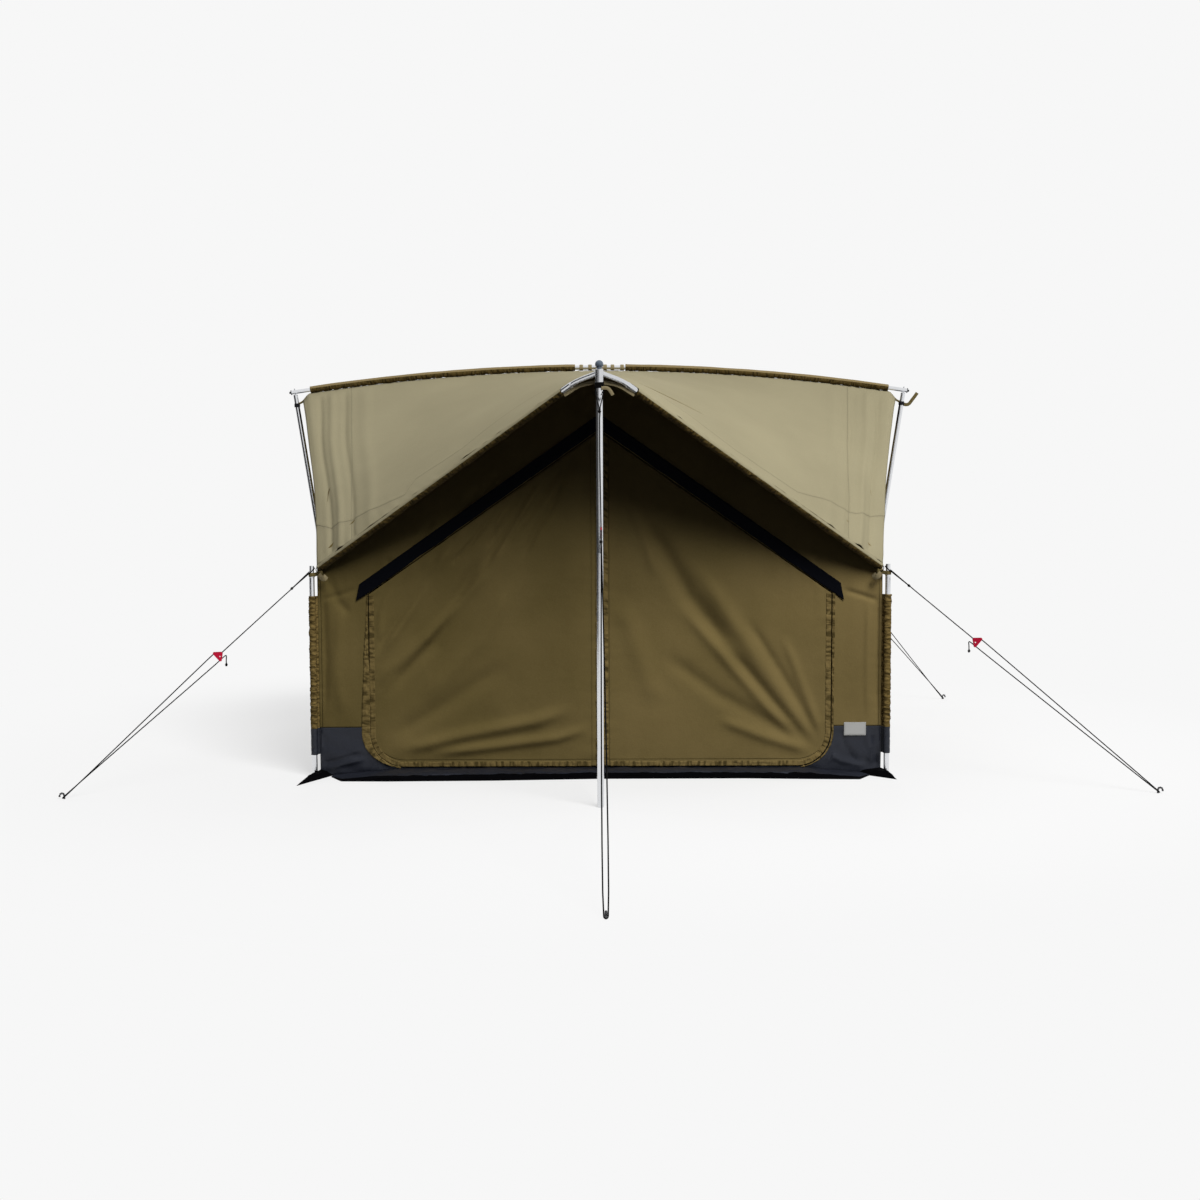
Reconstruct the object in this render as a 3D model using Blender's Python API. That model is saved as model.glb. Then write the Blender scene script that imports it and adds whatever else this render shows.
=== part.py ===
"""Cabin tent: an outside pole frame with a canvas cabin hung under it.

Metres, +Z up. X is the width, +Y the depth away from the door, and the origin is on the
ground in the middle of the plan. The doorway is in the wall at -Y.
"""

import math

import bmesh
import bpy
import numpy as np
from mathutils import Matrix, Vector
from mathutils.geometry import interpolate_bezier

# Plan and heights of the frame
HALF_WIDTH = 1.5  # a corner pole's axis from the middle, side to side
HALF_DEPTH = 1.25  # the same, front to back
CORNER_TOP = 1.055  # the thick part of a corner pole ends here
STUB_TOP = 1.107  # the thinner stub that takes the corner loops ends here
GROUND = 0.0002  # what lies on the ground keeps this far above it
HUB_Y = 2.06  # the centre poles stand this far in front of and behind the middle
HUB_Z = 2.04  # where the axes of a hub's arms meet
CROWN_Z = 2.225  # axis of the cross pole over the middle of the tent
CROSS_RISE = 0.14  # how far the cross pole bows between its tips and the middle
TIP_X = 1.8155  # where a side pole meets the cross pole
CROSS_END = 1.835
SIDE_FOOT_X = 1.5
ARM_END = Vector((0.17, 1.967, 1.962))  # mouth of a hub's rafter socket, back right
RAFTER_END = Vector((1.44, 1.262, 1.11))  # lower end of that rafter

# Tubes
CENTRE_RADIUS = 0.0165
POLE_RADIUS = 0.014
RAFTER_RADIUS = 0.0125
TUBE_WALL = 0.0015
SOCKET_RADIUS = 0.0148
SOCKET_DEPTH = 0.045
FIT = 0.0003  # radial play in a socket, and the gap between pieces that touch
PIN_RADIUS = 0.004  # the pin on a side pole's top
ROUND_SIDES = 12  # sides of a tube
TURN_STEPS = 16  # sides of a turned piece

# Hubs and crown
HUB_LOW = 1.985
HUB_HIGH = 2.0565
HUB_RADIUS = 0.0195
RIDGE_ARM = 0.095  # length of the hub's arm for the ridge pole
CROWN_RADIUS = 0.022
TAB_RADIUS = 0.0166  # outside of the webbing loops over the middle

# Cloth
CLOTH = 0.003
WALL_X = 1.475
WALL_Y = 1.225
SLEEVE_RADIUS = 0.0192
SLEEVE_CLOTH = 0.002
SLEEVE_END_X = 1.737  # the cross sleeves stop short of the tips
SLEEVE_FRONT_Y = 1.935
SLEEVE_BACK_Y = 0.09
EAVES_GAP = 0.007
SIDE_EAVES_GAP = 0.014  # more room under the scooped edges
ROOF_DROP = SLEEVE_RADIUS + 0.0005 + CLOTH / 2  # roof's middle surface under a pole's axis
HEM_RADIUS = 0.018
HEM_START_X = 0.175
ROOF_CORNER_X = 1.461
ROOF_TIP_X = 1.77
TIP_DIP = 0.036
EDGE_SCOOP = 0.035  # how far a roof panel's free edge is cut in
SEAM_GAP = 0.002  # a roof panel stops this far from the ridge and from the cross seam
TUB_TOP = 0.255
CORNER_SLEEVE = (0.116, 0.95)  # lower and upper end of the cloth tube round a corner pole
GROUND_FLAP = (1.544, 1.432)  # tip of a corner's ground flap, from the middle
FRONT_FLAPS = {-1: (1.548, 1.51), 1: (1.53, 1.39)}  # the front ones are pulled out unevenly

# The groundsheet's slack front edge swells out before the doorway as a low roll. For each
# distance across: how far it comes forward, and how high it stands.
SILL = [
    (-1.41, 0.05, 0.004),
    (-1.34, 0.17, 0.014),
    (-1.10, 0.178, 0.036),
    (-0.55, 0.165, 0.039),
    (0.0, 0.125, 0.039),
    (0.75, 0.125, 0.039),
    (1.10, 0.15, 0.036),
    (1.34, 0.162, 0.014),
    (1.41, 0.05, 0.004),
]

# Doorway: two leaves with rounded lower corners under a sloping top
DOOR_HINGE_X = 1.212
DOOR_BOTTOM = 0.045
DOOR_CORNER = 0.18
DOOR_SIDE_TOP = 0.953
DOOR_SLOPE = 0.70
DOOR_GAP = 0.005
FOLD_DEPTH = 0.008
FLAP_HEIGHT = 0.092
FLAP_END_X = 1.275
FLAP_BASE_Z = 0.918  # lower edge of a storm flap at its outer end

# Rear window
WINDOW_HALF = 0.45
WINDOW_LOW = 0.98
WINDOW_HIGH = 1.50
WINDOW_HINGE_Z = 1.55

# Guy ropes: where each is looped on a pole, its peg, and how far down the line its
# tensioner sits as a share of the way from the pole to the peg
ROPE = 0.004
ROPE_PLAY = 0.0008
EYE_LENGTH = 0.14  # from the pole to the knot that closes the loop
CORNER_EYE_Z = 1.084
STUB_RADIUS = 0.012
PEG_RADIUS = 0.005
PEG_ROPE_Z = 0.0115
TAIL = 0.055
BEND_PER_POINT = 0.4  # radians that a rope turns between two of its points
GUYS = {
    "front_left": ((-HALF_WIDTH, -HALF_DEPTH, CORNER_EYE_Z), STUB_RADIUS, (-2.62, -1.82), 0.38),
    "front_right": ((HALF_WIDTH, -HALF_DEPTH, CORNER_EYE_Z), STUB_RADIUS, (2.74, -1.77), 0.33),
    "rear_right": ((HALF_WIDTH, HALF_DEPTH, CORNER_EYE_Z), STUB_RADIUS, (2.44, 1.65), 0.34),
    "centre": ((0, -HUB_Y, 1.955), CENTRE_RADIUS, (0.017, -3.96), 0.32),
}

# Tensioner: places along the line and across it, from the corner that faces the pole
HOLE_BACK = 0.027
HOLE_SPREAD = 0.023
PLATE = 0.008
PLATE_EDGE = 0.0075
PLATE_HOLE = 0.0035

SIDES = {"left": -1, "right": 1}
ENDS = {"front": -1, "rear": 1}

COLOURS = {
    "tube": ((0.78, 0.79, 0.80), 0.25, 1.0),
    "hub": ((0.70, 0.71, 0.72), 0.35, 1.0),
    "cap": ((0.13, 0.14, 0.16), 0.45, 0.0),
    "roof": ((0.34, 0.30, 0.19), 0.85, 0.0),
    "wall": ((0.12, 0.09, 0.035), 0.85, 0.0),
    "sleeve": ((0.13, 0.095, 0.03), 0.85, 0.0),
    "tub": ((0.025, 0.028, 0.036), 0.45, 0.0),
    "flap": ((0.006, 0.007, 0.010), 0.7, 0.0),
    "net": ((0.02, 0.02, 0.02), 0.8, 0.0),
    "webbing": ((0.25, 0.20, 0.12), 0.8, 0.0),
    "rope": ((0.01, 0.01, 0.01), 0.8, 0.0),
    "tensioner": ((0.42, 0.0, 0.03), 0.3, 0.6),
    "peg": ((0.06, 0.06, 0.065), 0.4, 1.0),
    "zip": ((0.02, 0.02, 0.02), 0.5, 0.0),
}


def material(finish):
    made = bpy.data.materials.get(finish)
    if made:
        return made
    colour, roughness, metallic = COLOURS[finish]
    made = bpy.data.materials.new(finish)
    made.use_nodes = True
    shader = made.node_tree.nodes["Principled BSDF"]
    shader.inputs["Base Color"].default_value = (*colour, 1)
    shader.inputs["Roughness"].default_value = roughness
    shader.inputs["Metallic"].default_value = metallic
    return made


def add_mesh(name, bm, finish, smooth=True):
    bmesh.ops.recalc_face_normals(bm, faces=bm.faces)
    if all(edge.is_manifold for edge in bm.edges) and bm.calc_volume(signed=True) < 0:
        bmesh.ops.reverse_faces(bm, faces=bm.faces)
    mesh = bpy.data.meshes.new(name)
    bm.to_mesh(mesh)
    bm.free()
    if smooth:
        mesh.shade_smooth()
        mesh.set_sharp_from_angle(angle=math.radians(40))
    mesh.materials.append(material(finish))
    obj = bpy.data.objects.new(name, mesh)
    bpy.context.collection.objects.link(obj)
    return obj


def place(obj, position, direction=(0, 0, 1)):
    """Puts an object made along +Z at a position, turned to a direction."""
    turn = Vector(direction).to_track_quat("Z", "Y").to_matrix().to_4x4()
    obj.matrix_world = Matrix.Translation(position) @ turn
    return obj


def circle_at(centre, direction, radius, count):
    """Points of a circle round a direction, the first of them on the same side each time."""
    along = Vector(direction).normalized()
    side = along.cross(Vector((0, 0, 1)) if abs(along.z) < 0.9 else Vector((0, 1, 0))).normalized()
    up = side.cross(along)
    turns = [2 * math.pi * i / count for i in range(count)]
    return [Vector(centre) + radius * (math.cos(t) * side + math.sin(t) * up) for t in turns]


def tangents(path):
    last = len(path) - 1
    return [path[min(i + 1, last)] - path[max(i - 1, 0)] for i in range(len(path))]


def loft(name, rings, finish, closed):
    """Skins a row of equal rings. A closed row meets itself, and an open one is capped."""
    bm = bmesh.new()
    rows = [[bm.verts.new(point) for point in ring] for ring in rings]
    pairs = list(zip(rows, rows[1:]))
    if closed:
        pairs.append((rows[-1], rows[0]))
    for first, second in pairs:
        for i in range(len(first)):
            j = (i + 1) % len(first)
            bm.faces.new((first[i], first[j], second[j], second[i]))
    if not closed:
        bm.faces.new(rows[0])
        bm.faces.new(rows[-1])
    return add_mesh(name, bm, finish)


def tube(name, path, radius, wall, finish, count=ROUND_SIDES):
    """A pipe with open ends along a path."""
    path = [Vector(point) for point in path]
    ways = tangents(path)
    outer = [circle_at(p, w, radius, count) for p, w in zip(path, ways)]
    inner = [circle_at(p, w, radius - wall, count) for p, w in zip(path, ways)]
    return loft(name, outer + inner[::-1], finish, closed=True)


def rod(name, path, radii, finish, count=ROUND_SIDES):
    """A solid bar along a path, with a radius for each point."""
    path = [Vector(point) for point in path]
    rings = [circle_at(p, w, r, count) for p, w, r in zip(path, tangents(path), radii)]
    return loft(name, rings, finish, closed=False)


def turned(name, profile, finish, steps=TURN_STEPS):
    """Turns a closed outline of (radius, height) points round Z."""
    bm = bmesh.new()
    points = [bm.verts.new((radius, 0, height)) for radius, height in profile]
    edges = [bm.edges.new((a, b)) for a, b in zip(points, points[1:] + points[:1])]
    axis_edges = [e for e in edges if all(v.co.x == 0 for v in e.verts)]
    bmesh.ops.delete(bm, geom=axis_edges, context="EDGES")
    bmesh.ops.spin(
        bm,
        geom=bm.verts[:] + bm.edges[:],
        cent=(0, 0, 0),
        axis=(0, 0, 1),
        angle=2 * math.pi,
        steps=steps,
        use_merge=True,
    )
    bmesh.ops.remove_doubles(bm, verts=bm.verts, dist=1e-6)
    return add_mesh(name, bm, finish)


def combine(target, other, operation):
    """Adds a Boolean with a helper that is left out of the model."""
    other.hide_render = True
    other.display_type = "WIRE"
    step = target.modifiers.new(other.name, "BOOLEAN")
    step.operation = operation
    step.object = other
    return target


def box_mesh(name, low, high, finish):
    bm = bmesh.new()
    bmesh.ops.create_cube(bm, size=1)
    low, high = Vector(low), Vector(high)
    bmesh.ops.scale(bm, vec=high - low, verts=bm.verts)
    bmesh.ops.translate(bm, vec=(low + high) / 2, verts=bm.verts)
    return add_mesh(name, bm, finish, smooth=False)


def panel(name, outline, to_world, depth, finish, cuts=(), bend=None):
    """A flat piece cut to an outline of (across, up) points.

    to_world turns (across, up, forward) into a place. The piece is cut at the given
    planes so that it can bend, and then gets its thickness.
    """
    bm = bmesh.new()
    bm.faces.new([bm.verts.new((a, 0, b)) for a, b in outline])
    for point, normal in cuts:
        whole = bm.verts[:] + bm.edges[:] + bm.faces[:]
        bmesh.ops.bisect_plane(bm, geom=whole, plane_co=point, plane_no=normal)
    bmesh.ops.triangulate(bm, faces=bm.faces)
    if bend:
        for vert in bm.verts:
            vert.co.y = bend(vert.co.x, vert.co.z)
    front = bm.faces[:]
    back = bmesh.ops.extrude_face_region(bm, geom=front, use_keep_orig=True)
    moved = [item for item in back["geom"] if isinstance(item, bmesh.types.BMVert)]
    bmesh.ops.translate(bm, vec=(0, depth, 0), verts=moved)
    for vert in bm.verts:
        vert.co = to_world(vert.co.x, vert.co.z, vert.co.y - depth / 2)
    return add_mesh(name, bm, finish, smooth=bool(bend))


def mirrored(point, side, end):
    return Vector((point[0] * side, point[1] * end, point[2]))


# The frame

CROSS_CURVE = (TIP_X**2 + CROSS_RISE**2) / (2 * CROSS_RISE)  # radius of the cross pole's bow
CROSS_STEPS = 10


def cross_z(x):
    """Height of the cross pole's axis."""
    return CROWN_Z - CROSS_CURVE + math.sqrt(CROSS_CURVE**2 - x * x)


def ridge_z(y):
    """Height of the ridge poles' axis."""
    return CROWN_Z - (CROWN_Z - HUB_Z) * abs(y) / HUB_Y


RAFTER_WAY = (RAFTER_END - ARM_END).normalized()
RIDGE_WAY = Vector((0, -HUB_Y, CROWN_Z - HUB_Z)).normalized()

def arm_path():
    """Middle line of a rafter arm: out of the hub, a bend, and straight for its socket."""
    hub = Vector((0, HUB_Y, HUB_Z))
    bend_end = ARM_END - RAFTER_WAY * (SOCKET_DEPTH + 0.012)
    start_way = (bend_end - hub).normalized()
    bend = interpolate_bezier(hub, hub + start_way * 0.05, bend_end - RAFTER_WAY * 0.04, bend_end, 6)
    return [*bend, bend_end + RAFTER_WAY * 0.008, ARM_END]


def make_hub(end_name, end):
    """A turned socket for the centre pole with two bent arms and one straight one."""
    chamfer = 0.003
    body = turned(
        f"{end_name}_hub",
        [
            (0, HUB_HIGH),
            (HUB_RADIUS - chamfer, HUB_HIGH),
            (HUB_RADIUS, HUB_HIGH - chamfer),
            (HUB_RADIUS, HUB_LOW + chamfer),
            (HUB_RADIUS - 0.001, HUB_LOW),
            (0, HUB_LOW),
        ],
        "hub",
    )
    place(body, (0, HUB_Y * end, 0))
    radii = [RAFTER_RADIUS] * 6 + [SOCKET_RADIUS] * 2
    cutters = []
    for side_name, side in SIDES.items():
        path = [mirrored(p, side, end) for p in arm_path()]
        combine(body, rod(f"{end_name}_arm_{side_name}", path, radii, "hub"), "UNION")
        way = mirrored(RAFTER_WAY, side, end)
        mouth = mirrored(ARM_END, side, end)
        cutters.append([mouth - way * SOCKET_DEPTH, mouth + way * 0.01])
    start = Vector((0, HUB_Y * end, HUB_Z))
    way = mirrored(RIDGE_WAY, 1, end)
    steps = [0, RIDGE_ARM - 0.058, RIDGE_ARM - 0.05, RIDGE_ARM]
    arm = rod(
        f"{end_name}_ridge_arm",
        [start + way * s for s in steps],
        [RAFTER_RADIUS, RAFTER_RADIUS, SOCKET_RADIUS, SOCKET_RADIUS],
        "hub",
    )
    combine(body, arm, "UNION")
    mouth = start + way * RIDGE_ARM
    cutters.append([mouth - way * SOCKET_DEPTH, mouth + way * 0.01])
    for number, path in enumerate(cutters):
        bore = rod(f"{end_name}_bore_{number}", path, [RAFTER_RADIUS + FIT] * 2, "hub")
        combine(body, bore, "DIFFERENCE")
    seat = [(0, HUB_Y * end, HUB_LOW - 0.01), (0, HUB_Y * end, HUB_LOW + 0.03)]
    combine(body, rod(f"{end_name}_seat", seat, [CENTRE_RADIUS + FIT] * 2, "hub", TURN_STEPS), "DIFFERENCE")


def make_hub_cap(end_name, end):
    """A ball on a neck that closes the hub's top."""
    ball_radius = 0.0195
    neck = 0.0135
    base = HUB_HIGH + FIT
    centre = base + 0.006 + ball_radius * 0.75
    low = -math.acos(0.9)
    arc = [low + (math.pi / 2 - low) * i / 7 for i in range(8)]
    ball = [(ball_radius * math.cos(a), centre + ball_radius * math.sin(a)) for a in arc[:-1]]
    profile = [(0, base), (neck, base), (neck, ball[0][1]), *ball, (0, centre + ball_radius)]
    cap = turned(f"{end_name}_hub_cap", profile, "cap")
    place(cap, (0, HUB_Y * end, 0))


def make_centre_pole(end_name, end):
    """One straight tube with a slightly drawn-in foot."""
    inner = CENTRE_RADIUS - TUBE_WALL
    top = HUB_LOW + 0.0295
    profile = [
        (CENTRE_RADIUS, top),
        (CENTRE_RADIUS, 0.012),
        (CENTRE_RADIUS - 0.002, 0),
        (inner - 0.002, 0),
        (inner, 0.012),
        (inner, top),
    ]
    place(turned(f"{end_name}_centre_pole", profile, "tube"), (0, HUB_Y * end, 0))


def make_corner_pole(name, side, end):
    """A tube with a collar and a thinner stub, which takes the loops of the roof and guy."""
    collar = POLE_RADIUS + 0.0015
    stub = STUB_RADIUS
    bore = stub - TUBE_WALL
    profile = [
        (stub, STUB_TOP),
        (stub, CORNER_TOP + 0.004),
        (collar, CORNER_TOP + 0.002),
        (collar, CORNER_TOP - 0.006),
        (POLE_RADIUS, CORNER_TOP - 0.008),
        (POLE_RADIUS, 0.010),
        (POLE_RADIUS - 0.002, 0),
        (POLE_RADIUS - 0.0035, 0),
        (POLE_RADIUS - TUBE_WALL, 0.010),
        (POLE_RADIUS - TUBE_WALL, CORNER_TOP - 0.008),
        (bore, CORNER_TOP),
        (bore, STUB_TOP),
    ]
    place(turned(name, profile, "tube"), (HALF_WIDTH * side, HALF_DEPTH * end, 0))


def make_rafter(name, side, end):
    start = ARM_END - RAFTER_WAY * (SOCKET_DEPTH - 0.001)
    path = [mirrored(start, side, end), mirrored(RAFTER_END, side, end)]
    tube(name, path, RAFTER_RADIUS, TUBE_WALL, "tube")


def make_ridge_pole(name, end):
    start = Vector((0, HUB_Y, HUB_Z)) + RIDGE_WAY * (RIDGE_ARM - SOCKET_DEPTH + 0.001)
    finish = Vector((0, CROWN_RADIUS + 0.001, ridge_z(CROWN_RADIUS + 0.001)))
    tube(name, [mirrored(start, 1, end), mirrored(finish, 1, end)], RAFTER_RADIUS, TUBE_WALL, "tube")


def cross_path(low, high, steps):
    """Points on the cross pole's axis between two distances from the middle."""
    places = [low + (high - low) * i / steps for i in range(steps + 1)]
    return [Vector((x, 0, cross_z(x))) for x in places]


def make_cross_pole(side_name, side):
    """Half of the bowed pole over the tent, drilled near its tip for the side pole's pin."""
    path = [mirrored(p, side, 1) for p in cross_path(CROWN_RADIUS + 0.001, CROSS_END, CROSS_STEPS)]
    pole = tube(f"cross_pole_{side_name}", path, RAFTER_RADIUS, TUBE_WALL, "tube")
    tip = Vector((TIP_X * side, 0, cross_z(TIP_X)))
    drill = [tip - side_pole_way(side) * 0.03, tip + side_pole_way(side) * 0.03]
    combine(pole, rod(f"drill_{side_name}", drill, [PIN_RADIUS + FIT] * 2, "tube", TURN_STEPS), "DIFFERENCE")


def side_pole_way(side):
    foot = Vector((SIDE_FOOT_X * side, 0, 0))
    return (Vector((TIP_X * side, 0, cross_z(TIP_X))) - foot).normalized()


def make_side_pole(side_name, side):
    """A leaning tube, closed at the top round the pin that goes through the cross pole."""
    way = side_pole_way(side)
    length = cross_z(TIP_X) / way.z
    shoulder = length - RAFTER_RADIUS - 0.004
    plug = shoulder - 0.05
    inner = POLE_RADIUS - TUBE_WALL
    foot = 0.0025  # the leaning foot's low edge stays on the ground
    profile = [
        (0, length + RAFTER_RADIUS + 0.009),
        (PIN_RADIUS * 0.6, length + RAFTER_RADIUS + 0.009),
        (PIN_RADIUS, length + RAFTER_RADIUS + 0.006),
        (PIN_RADIUS, shoulder),
        (POLE_RADIUS - 0.003, shoulder),
        (POLE_RADIUS, shoulder - 0.003),
        (POLE_RADIUS, foot),
        (inner, foot),
        (inner, plug),
        (0, plug),
    ]
    pole = turned(f"side_pole_{side_name}", profile, "tube")
    place(pole, (SIDE_FOOT_X * side, 0, 0), way)


def make_end_plug(side_name, side):
    """A ring over the cross pole's end with a black stub in its bore."""
    way = Vector((side, 0, -TIP_X / (CROSS_CURVE - (CROWN_Z - cross_z(TIP_X))))).normalized()
    bore = (RAFTER_RADIUS - TUBE_WALL) * math.cos(math.pi / ROUND_SIDES) - FIT
    profile = [
        (0, 0.014),
        (0.005, 0.014),
        (0.0065, 0.012),
        (0.0065, 0.004),
        (RAFTER_RADIUS + 0.002, 0.004),
        (RAFTER_RADIUS + 0.002, FIT),
        (bore, FIT),
        (bore, -0.008),
        (0, -0.008),
    ]
    plug = turned(f"cross_end_plug_{side_name}", profile, "cap")
    place(plug, (CROSS_END * side, 0, cross_z(CROSS_END)), way)


def make_crown():
    """The four-way connector over the middle, with a spigot into each pole."""
    body = turned(
        "crown_connector",
        [
            (0, 0.016),
            (CROWN_RADIUS - 0.004, 0.016),
            (CROWN_RADIUS, 0.012),
            (CROWN_RADIUS, -0.012),
            (CROWN_RADIUS - 0.002, -0.014),
            (0, -0.014),
        ],
        "hub",
    )
    place(body, (0, 0, CROWN_Z))
    spigot = RAFTER_RADIUS - TUBE_WALL - FIT
    reach = 0.075
    mouth, bend = cross_path(CROWN_RADIUS + 0.001, CROSS_END, CROSS_STEPS)[:2]
    way = (bend - mouth).normalized()
    cross_arm = [Vector((0, 0, CROWN_Z)), mouth - way * 0.003, mouth + way * reach]
    ridge_arm = [Vector((0, s, ridge_z(s))) for s in (0, reach)]
    ends = {"left": cross_arm, "right": cross_arm, "front": ridge_arm, "rear": ridge_arm}
    for name, path in ends.items():
        turn = {"left": (-1, 1), "right": (1, 1), "front": (1, -1), "rear": (1, 1)}[name]
        arm = [mirrored(p, *turn) for p in path]
        combine(body, rod(f"spigot_{name}", arm, [spigot] * len(arm), "hub"), "UNION")


# The roof: four panels, each stretched between a rafter and half of the cross pole


def rafter_top(x):
    """A point of the roof's surface over the rafter's line, front right taken as back right."""
    along = (x - ARM_END.x) / RAFTER_WAY.x
    point = ARM_END + RAFTER_WAY * along + ROOF_NORMAL * HEM_RADIUS
    reach = 0.2
    if x < reach:
        over = ARM_END - RAFTER_WAY * (ARM_END.x / RAFTER_WAY.x) + ROOF_NORMAL * HEM_RADIUS
        wanted = Vector((0, over.y, HUB_Z - ROOF_DROP))
        point += (wanted - over) * (1 - x / reach) ** 2
    return point


ROOF_BACK = Vector((0, -1, 0)) - RAFTER_WAY * Vector((0, -1, 0)).dot(RAFTER_WAY)
ROOF_BACK = (ROOF_BACK + Vector((0, 0, 0.25))).normalized()
ROOF_BACK = (ROOF_BACK - RAFTER_WAY * ROOF_BACK.dot(RAFTER_WAY)).normalized()
ROOF_NORMAL = RAFTER_WAY.cross(ROOF_BACK)
if ROOF_NORMAL.z < 0:
    ROOF_NORMAL = -ROOF_NORMAL


def roof_point(u, v):
    """The roof over the back right quarter: u from the ridge out, v from the rafter in."""
    low = rafter_top(ROOF_CORNER_X * u)
    x = ROOF_TIP_X * u
    high = Vector((x, 0, cross_z(x) - ROOF_DROP))
    high.z -= TIP_DIP * max(0.0, (u - 0.98) / 0.02)
    scoop = EDGE_SCOOP * u**24 * 4 * v * (1 - v)
    seams = Vector((SEAM_GAP * (1 - u) ** 4, SEAM_GAP * v**4, 0))
    return low.lerp(high, v) + Vector((-0.5, 0, 0.87)) * scoop + seams


def roof_heights_at_y(y):
    """Places across the tent and heights of the roof in the plane of an end wall."""
    found = []
    for i in range(41):
        u = i / 40
        v = 1 - y / rafter_top(ROOF_CORNER_X * u).y
        found.append(roof_point(u, v))
    return [p.x for p in found], [p.z for p in found]


def roof_heights_at_x(x):
    """Places along the tent and heights of the roof in the plane of a side wall."""
    found = []
    for i in range(41):
        v = i / 40
        lift = (1 - v) * ROOF_NORMAL.x * HEM_RADIUS
        u = min(1.0, (x - lift) / ((1 - v) * ROOF_CORNER_X + v * ROOF_TIP_X))
        found.append(roof_point(u, v))
    return [p.y for p in reversed(found)], [p.z for p in reversed(found)]


ROOF_COLUMNS = [0.0, 0.06, 0.13, HEM_START_X, 0.30, 0.48, 0.68, 0.88, 1.08, 1.28, 1.44, ROOF_CORNER_X]
ROOF_ROWS = [0.0, 0.09, 0.2, 0.32, 0.45, 0.58, 0.7, 0.81, 0.91, 1.0]
FRONT_CUT = 0.035  # the cloth starts this share of the way back beside the hub's arms
HEM_TURNS = [330, 282, 234, 186, 138]


def make_roof(name, side, end):
    """A sheet whose lower edge is rolled round the rafter as a pocket."""
    bm = bmesh.new()
    grid = []
    for x in ROOF_COLUMNS:
        u = x / ROOF_CORNER_X
        hemmed = HEM_START_X <= x < ROOF_CORNER_X
        column = []
        centre = ARM_END + RAFTER_WAY * ((x - ARM_END.x) / RAFTER_WAY.x)
        for degrees in HEM_TURNS:
            turn = math.radians(degrees)
            ring = math.cos(turn) * ROOF_BACK + math.sin(turn) * ROOF_NORMAL
            column.append(centre + ring * HEM_RADIUS if hemmed else None)
        for v in ROOF_ROWS:
            start = FRONT_CUT if x < HEM_START_X else 0.0
            column.append(roof_point(u, start + (1 - start) * v))
        grid.append([bm.verts.new(mirrored(p, side, end)) if p else None for p in column])
    for first, second in zip(grid, grid[1:]):
        for i in range(len(first) - 1):
            corners = (first[i], first[i + 1], second[i + 1], second[i])
            if all(corners):
                bm.faces.new(corners)
    sheet = add_mesh(name, bm, "roof")
    thick = sheet.modifiers.new("Cloth", "SOLIDIFY")
    thick.thickness = CLOTH
    thick.offset = 0
    thick.use_even_offset = True


def sleeve_tube(name, path):
    tube(name, path, SLEEVE_RADIUS, SLEEVE_CLOTH, "sleeve")


def make_roof_sleeves():
    starts = {"left": 0.144, "right": 0.156}
    for side_name, side in SIDES.items():
        path = cross_path(starts[side_name], SLEEVE_END_X, CROSS_STEPS)
        sleeve_tube(f"cross_sleeve_{side_name}", [mirrored(p, side, 1) for p in path])
    for end_name, end in ENDS.items():
        path = [Vector((0, y, ridge_z(y))) for y in (SLEEVE_FRONT_Y, SLEEVE_BACK_Y)]
        sleeve_tube(f"ridge_sleeve_{end_name}", [mirrored(p, 1, end) for p in path])


def make_crown_tabs():
    """Webbing loops round the bare middle of the cross pole, sewn to one tape on the roof."""
    half_width = 0.011
    low, high = -0.128, 0.150
    top, bottom = -0.0158, -0.0178
    steps = [low + (high - low) * i / 4 for i in range(5)]
    rings = []
    for x in steps:
        z = cross_z(x)
        edge = [(-half_width, bottom), (half_width, bottom), (half_width, top), (-half_width, top)]
        rings.append([Vector((x, y, z + h)) for y, h in edge])
    tape = loft("crown_tabs", rings, "webbing", closed=False)
    for number, x in enumerate((-0.110, -0.055, 0.035, 0.076, 0.136)):
        ends = [Vector((x - 0.009, 0, cross_z(x))), Vector((x + 0.009, 0, cross_z(x)))]
        combine(tape, tube(f"tab_{number}", ends, TAB_RADIUS, 0.0028, "webbing"), "UNION")


# The cabin's walls and floor


def end_wall_outline(half, top_gap):
    """Right half of an end wall's top edge, from the corner to the middle."""
    xs, zs = roof_heights_at_y(WALL_Y)
    places = [half, 1.3, 1.1, 0.9, 0.7, 0.5, 0.33, 0.2, 0.1, 0.0]
    return [(x, float(np.interp(x, xs, zs)) - top_gap) for x in places]


def door_outline(grow):
    """The doorway's right half from the middle of its sill round to the middle of its top."""
    side = DOOR_HINGE_X - DOOR_GAP / 2 + grow
    low = DOOR_BOTTOM - grow
    radius = DOOR_CORNER + grow
    turns = [math.radians(-90 + 90 * i / 7) for i in range(8)]
    arc = [(side - radius + radius * math.cos(t), low + radius + radius * math.sin(t)) for t in turns]
    rise = grow * math.hypot(1, DOOR_SLOPE)
    edge_top = DOOR_SIDE_TOP + rise - DOOR_SLOPE * (side - DOOR_HINGE_X)
    centre_top = DOOR_SIDE_TOP + rise + DOOR_SLOPE * DOOR_HINGE_X
    return [(0, low), *arc, (side, edge_top), (0, centre_top)]


def make_front_wall():
    """Two wings joined over the doorway, cut along the roof above."""
    half = WALL_X + CLOTH / 2
    inner = [p for p in door_outline(DOOR_GAP) if p[1] > TUB_TOP]
    inner = [(inner[0][0], TUB_TOP), *inner]
    right = [inner[0], (half, TUB_TOP), *end_wall_outline(half, EAVES_GAP)]
    left = [(-a, b) for a, b in reversed(right[:-1])]
    under = [(-a, b) for a, b in inner[:-1]] + list(reversed(inner))
    outline = right + left + under[1:-1]
    panel("front_wall", outline, front_place, CLOTH, "wall")


def front_place(across, up, forward):
    return Vector((across, -WALL_Y + forward, up))


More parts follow.
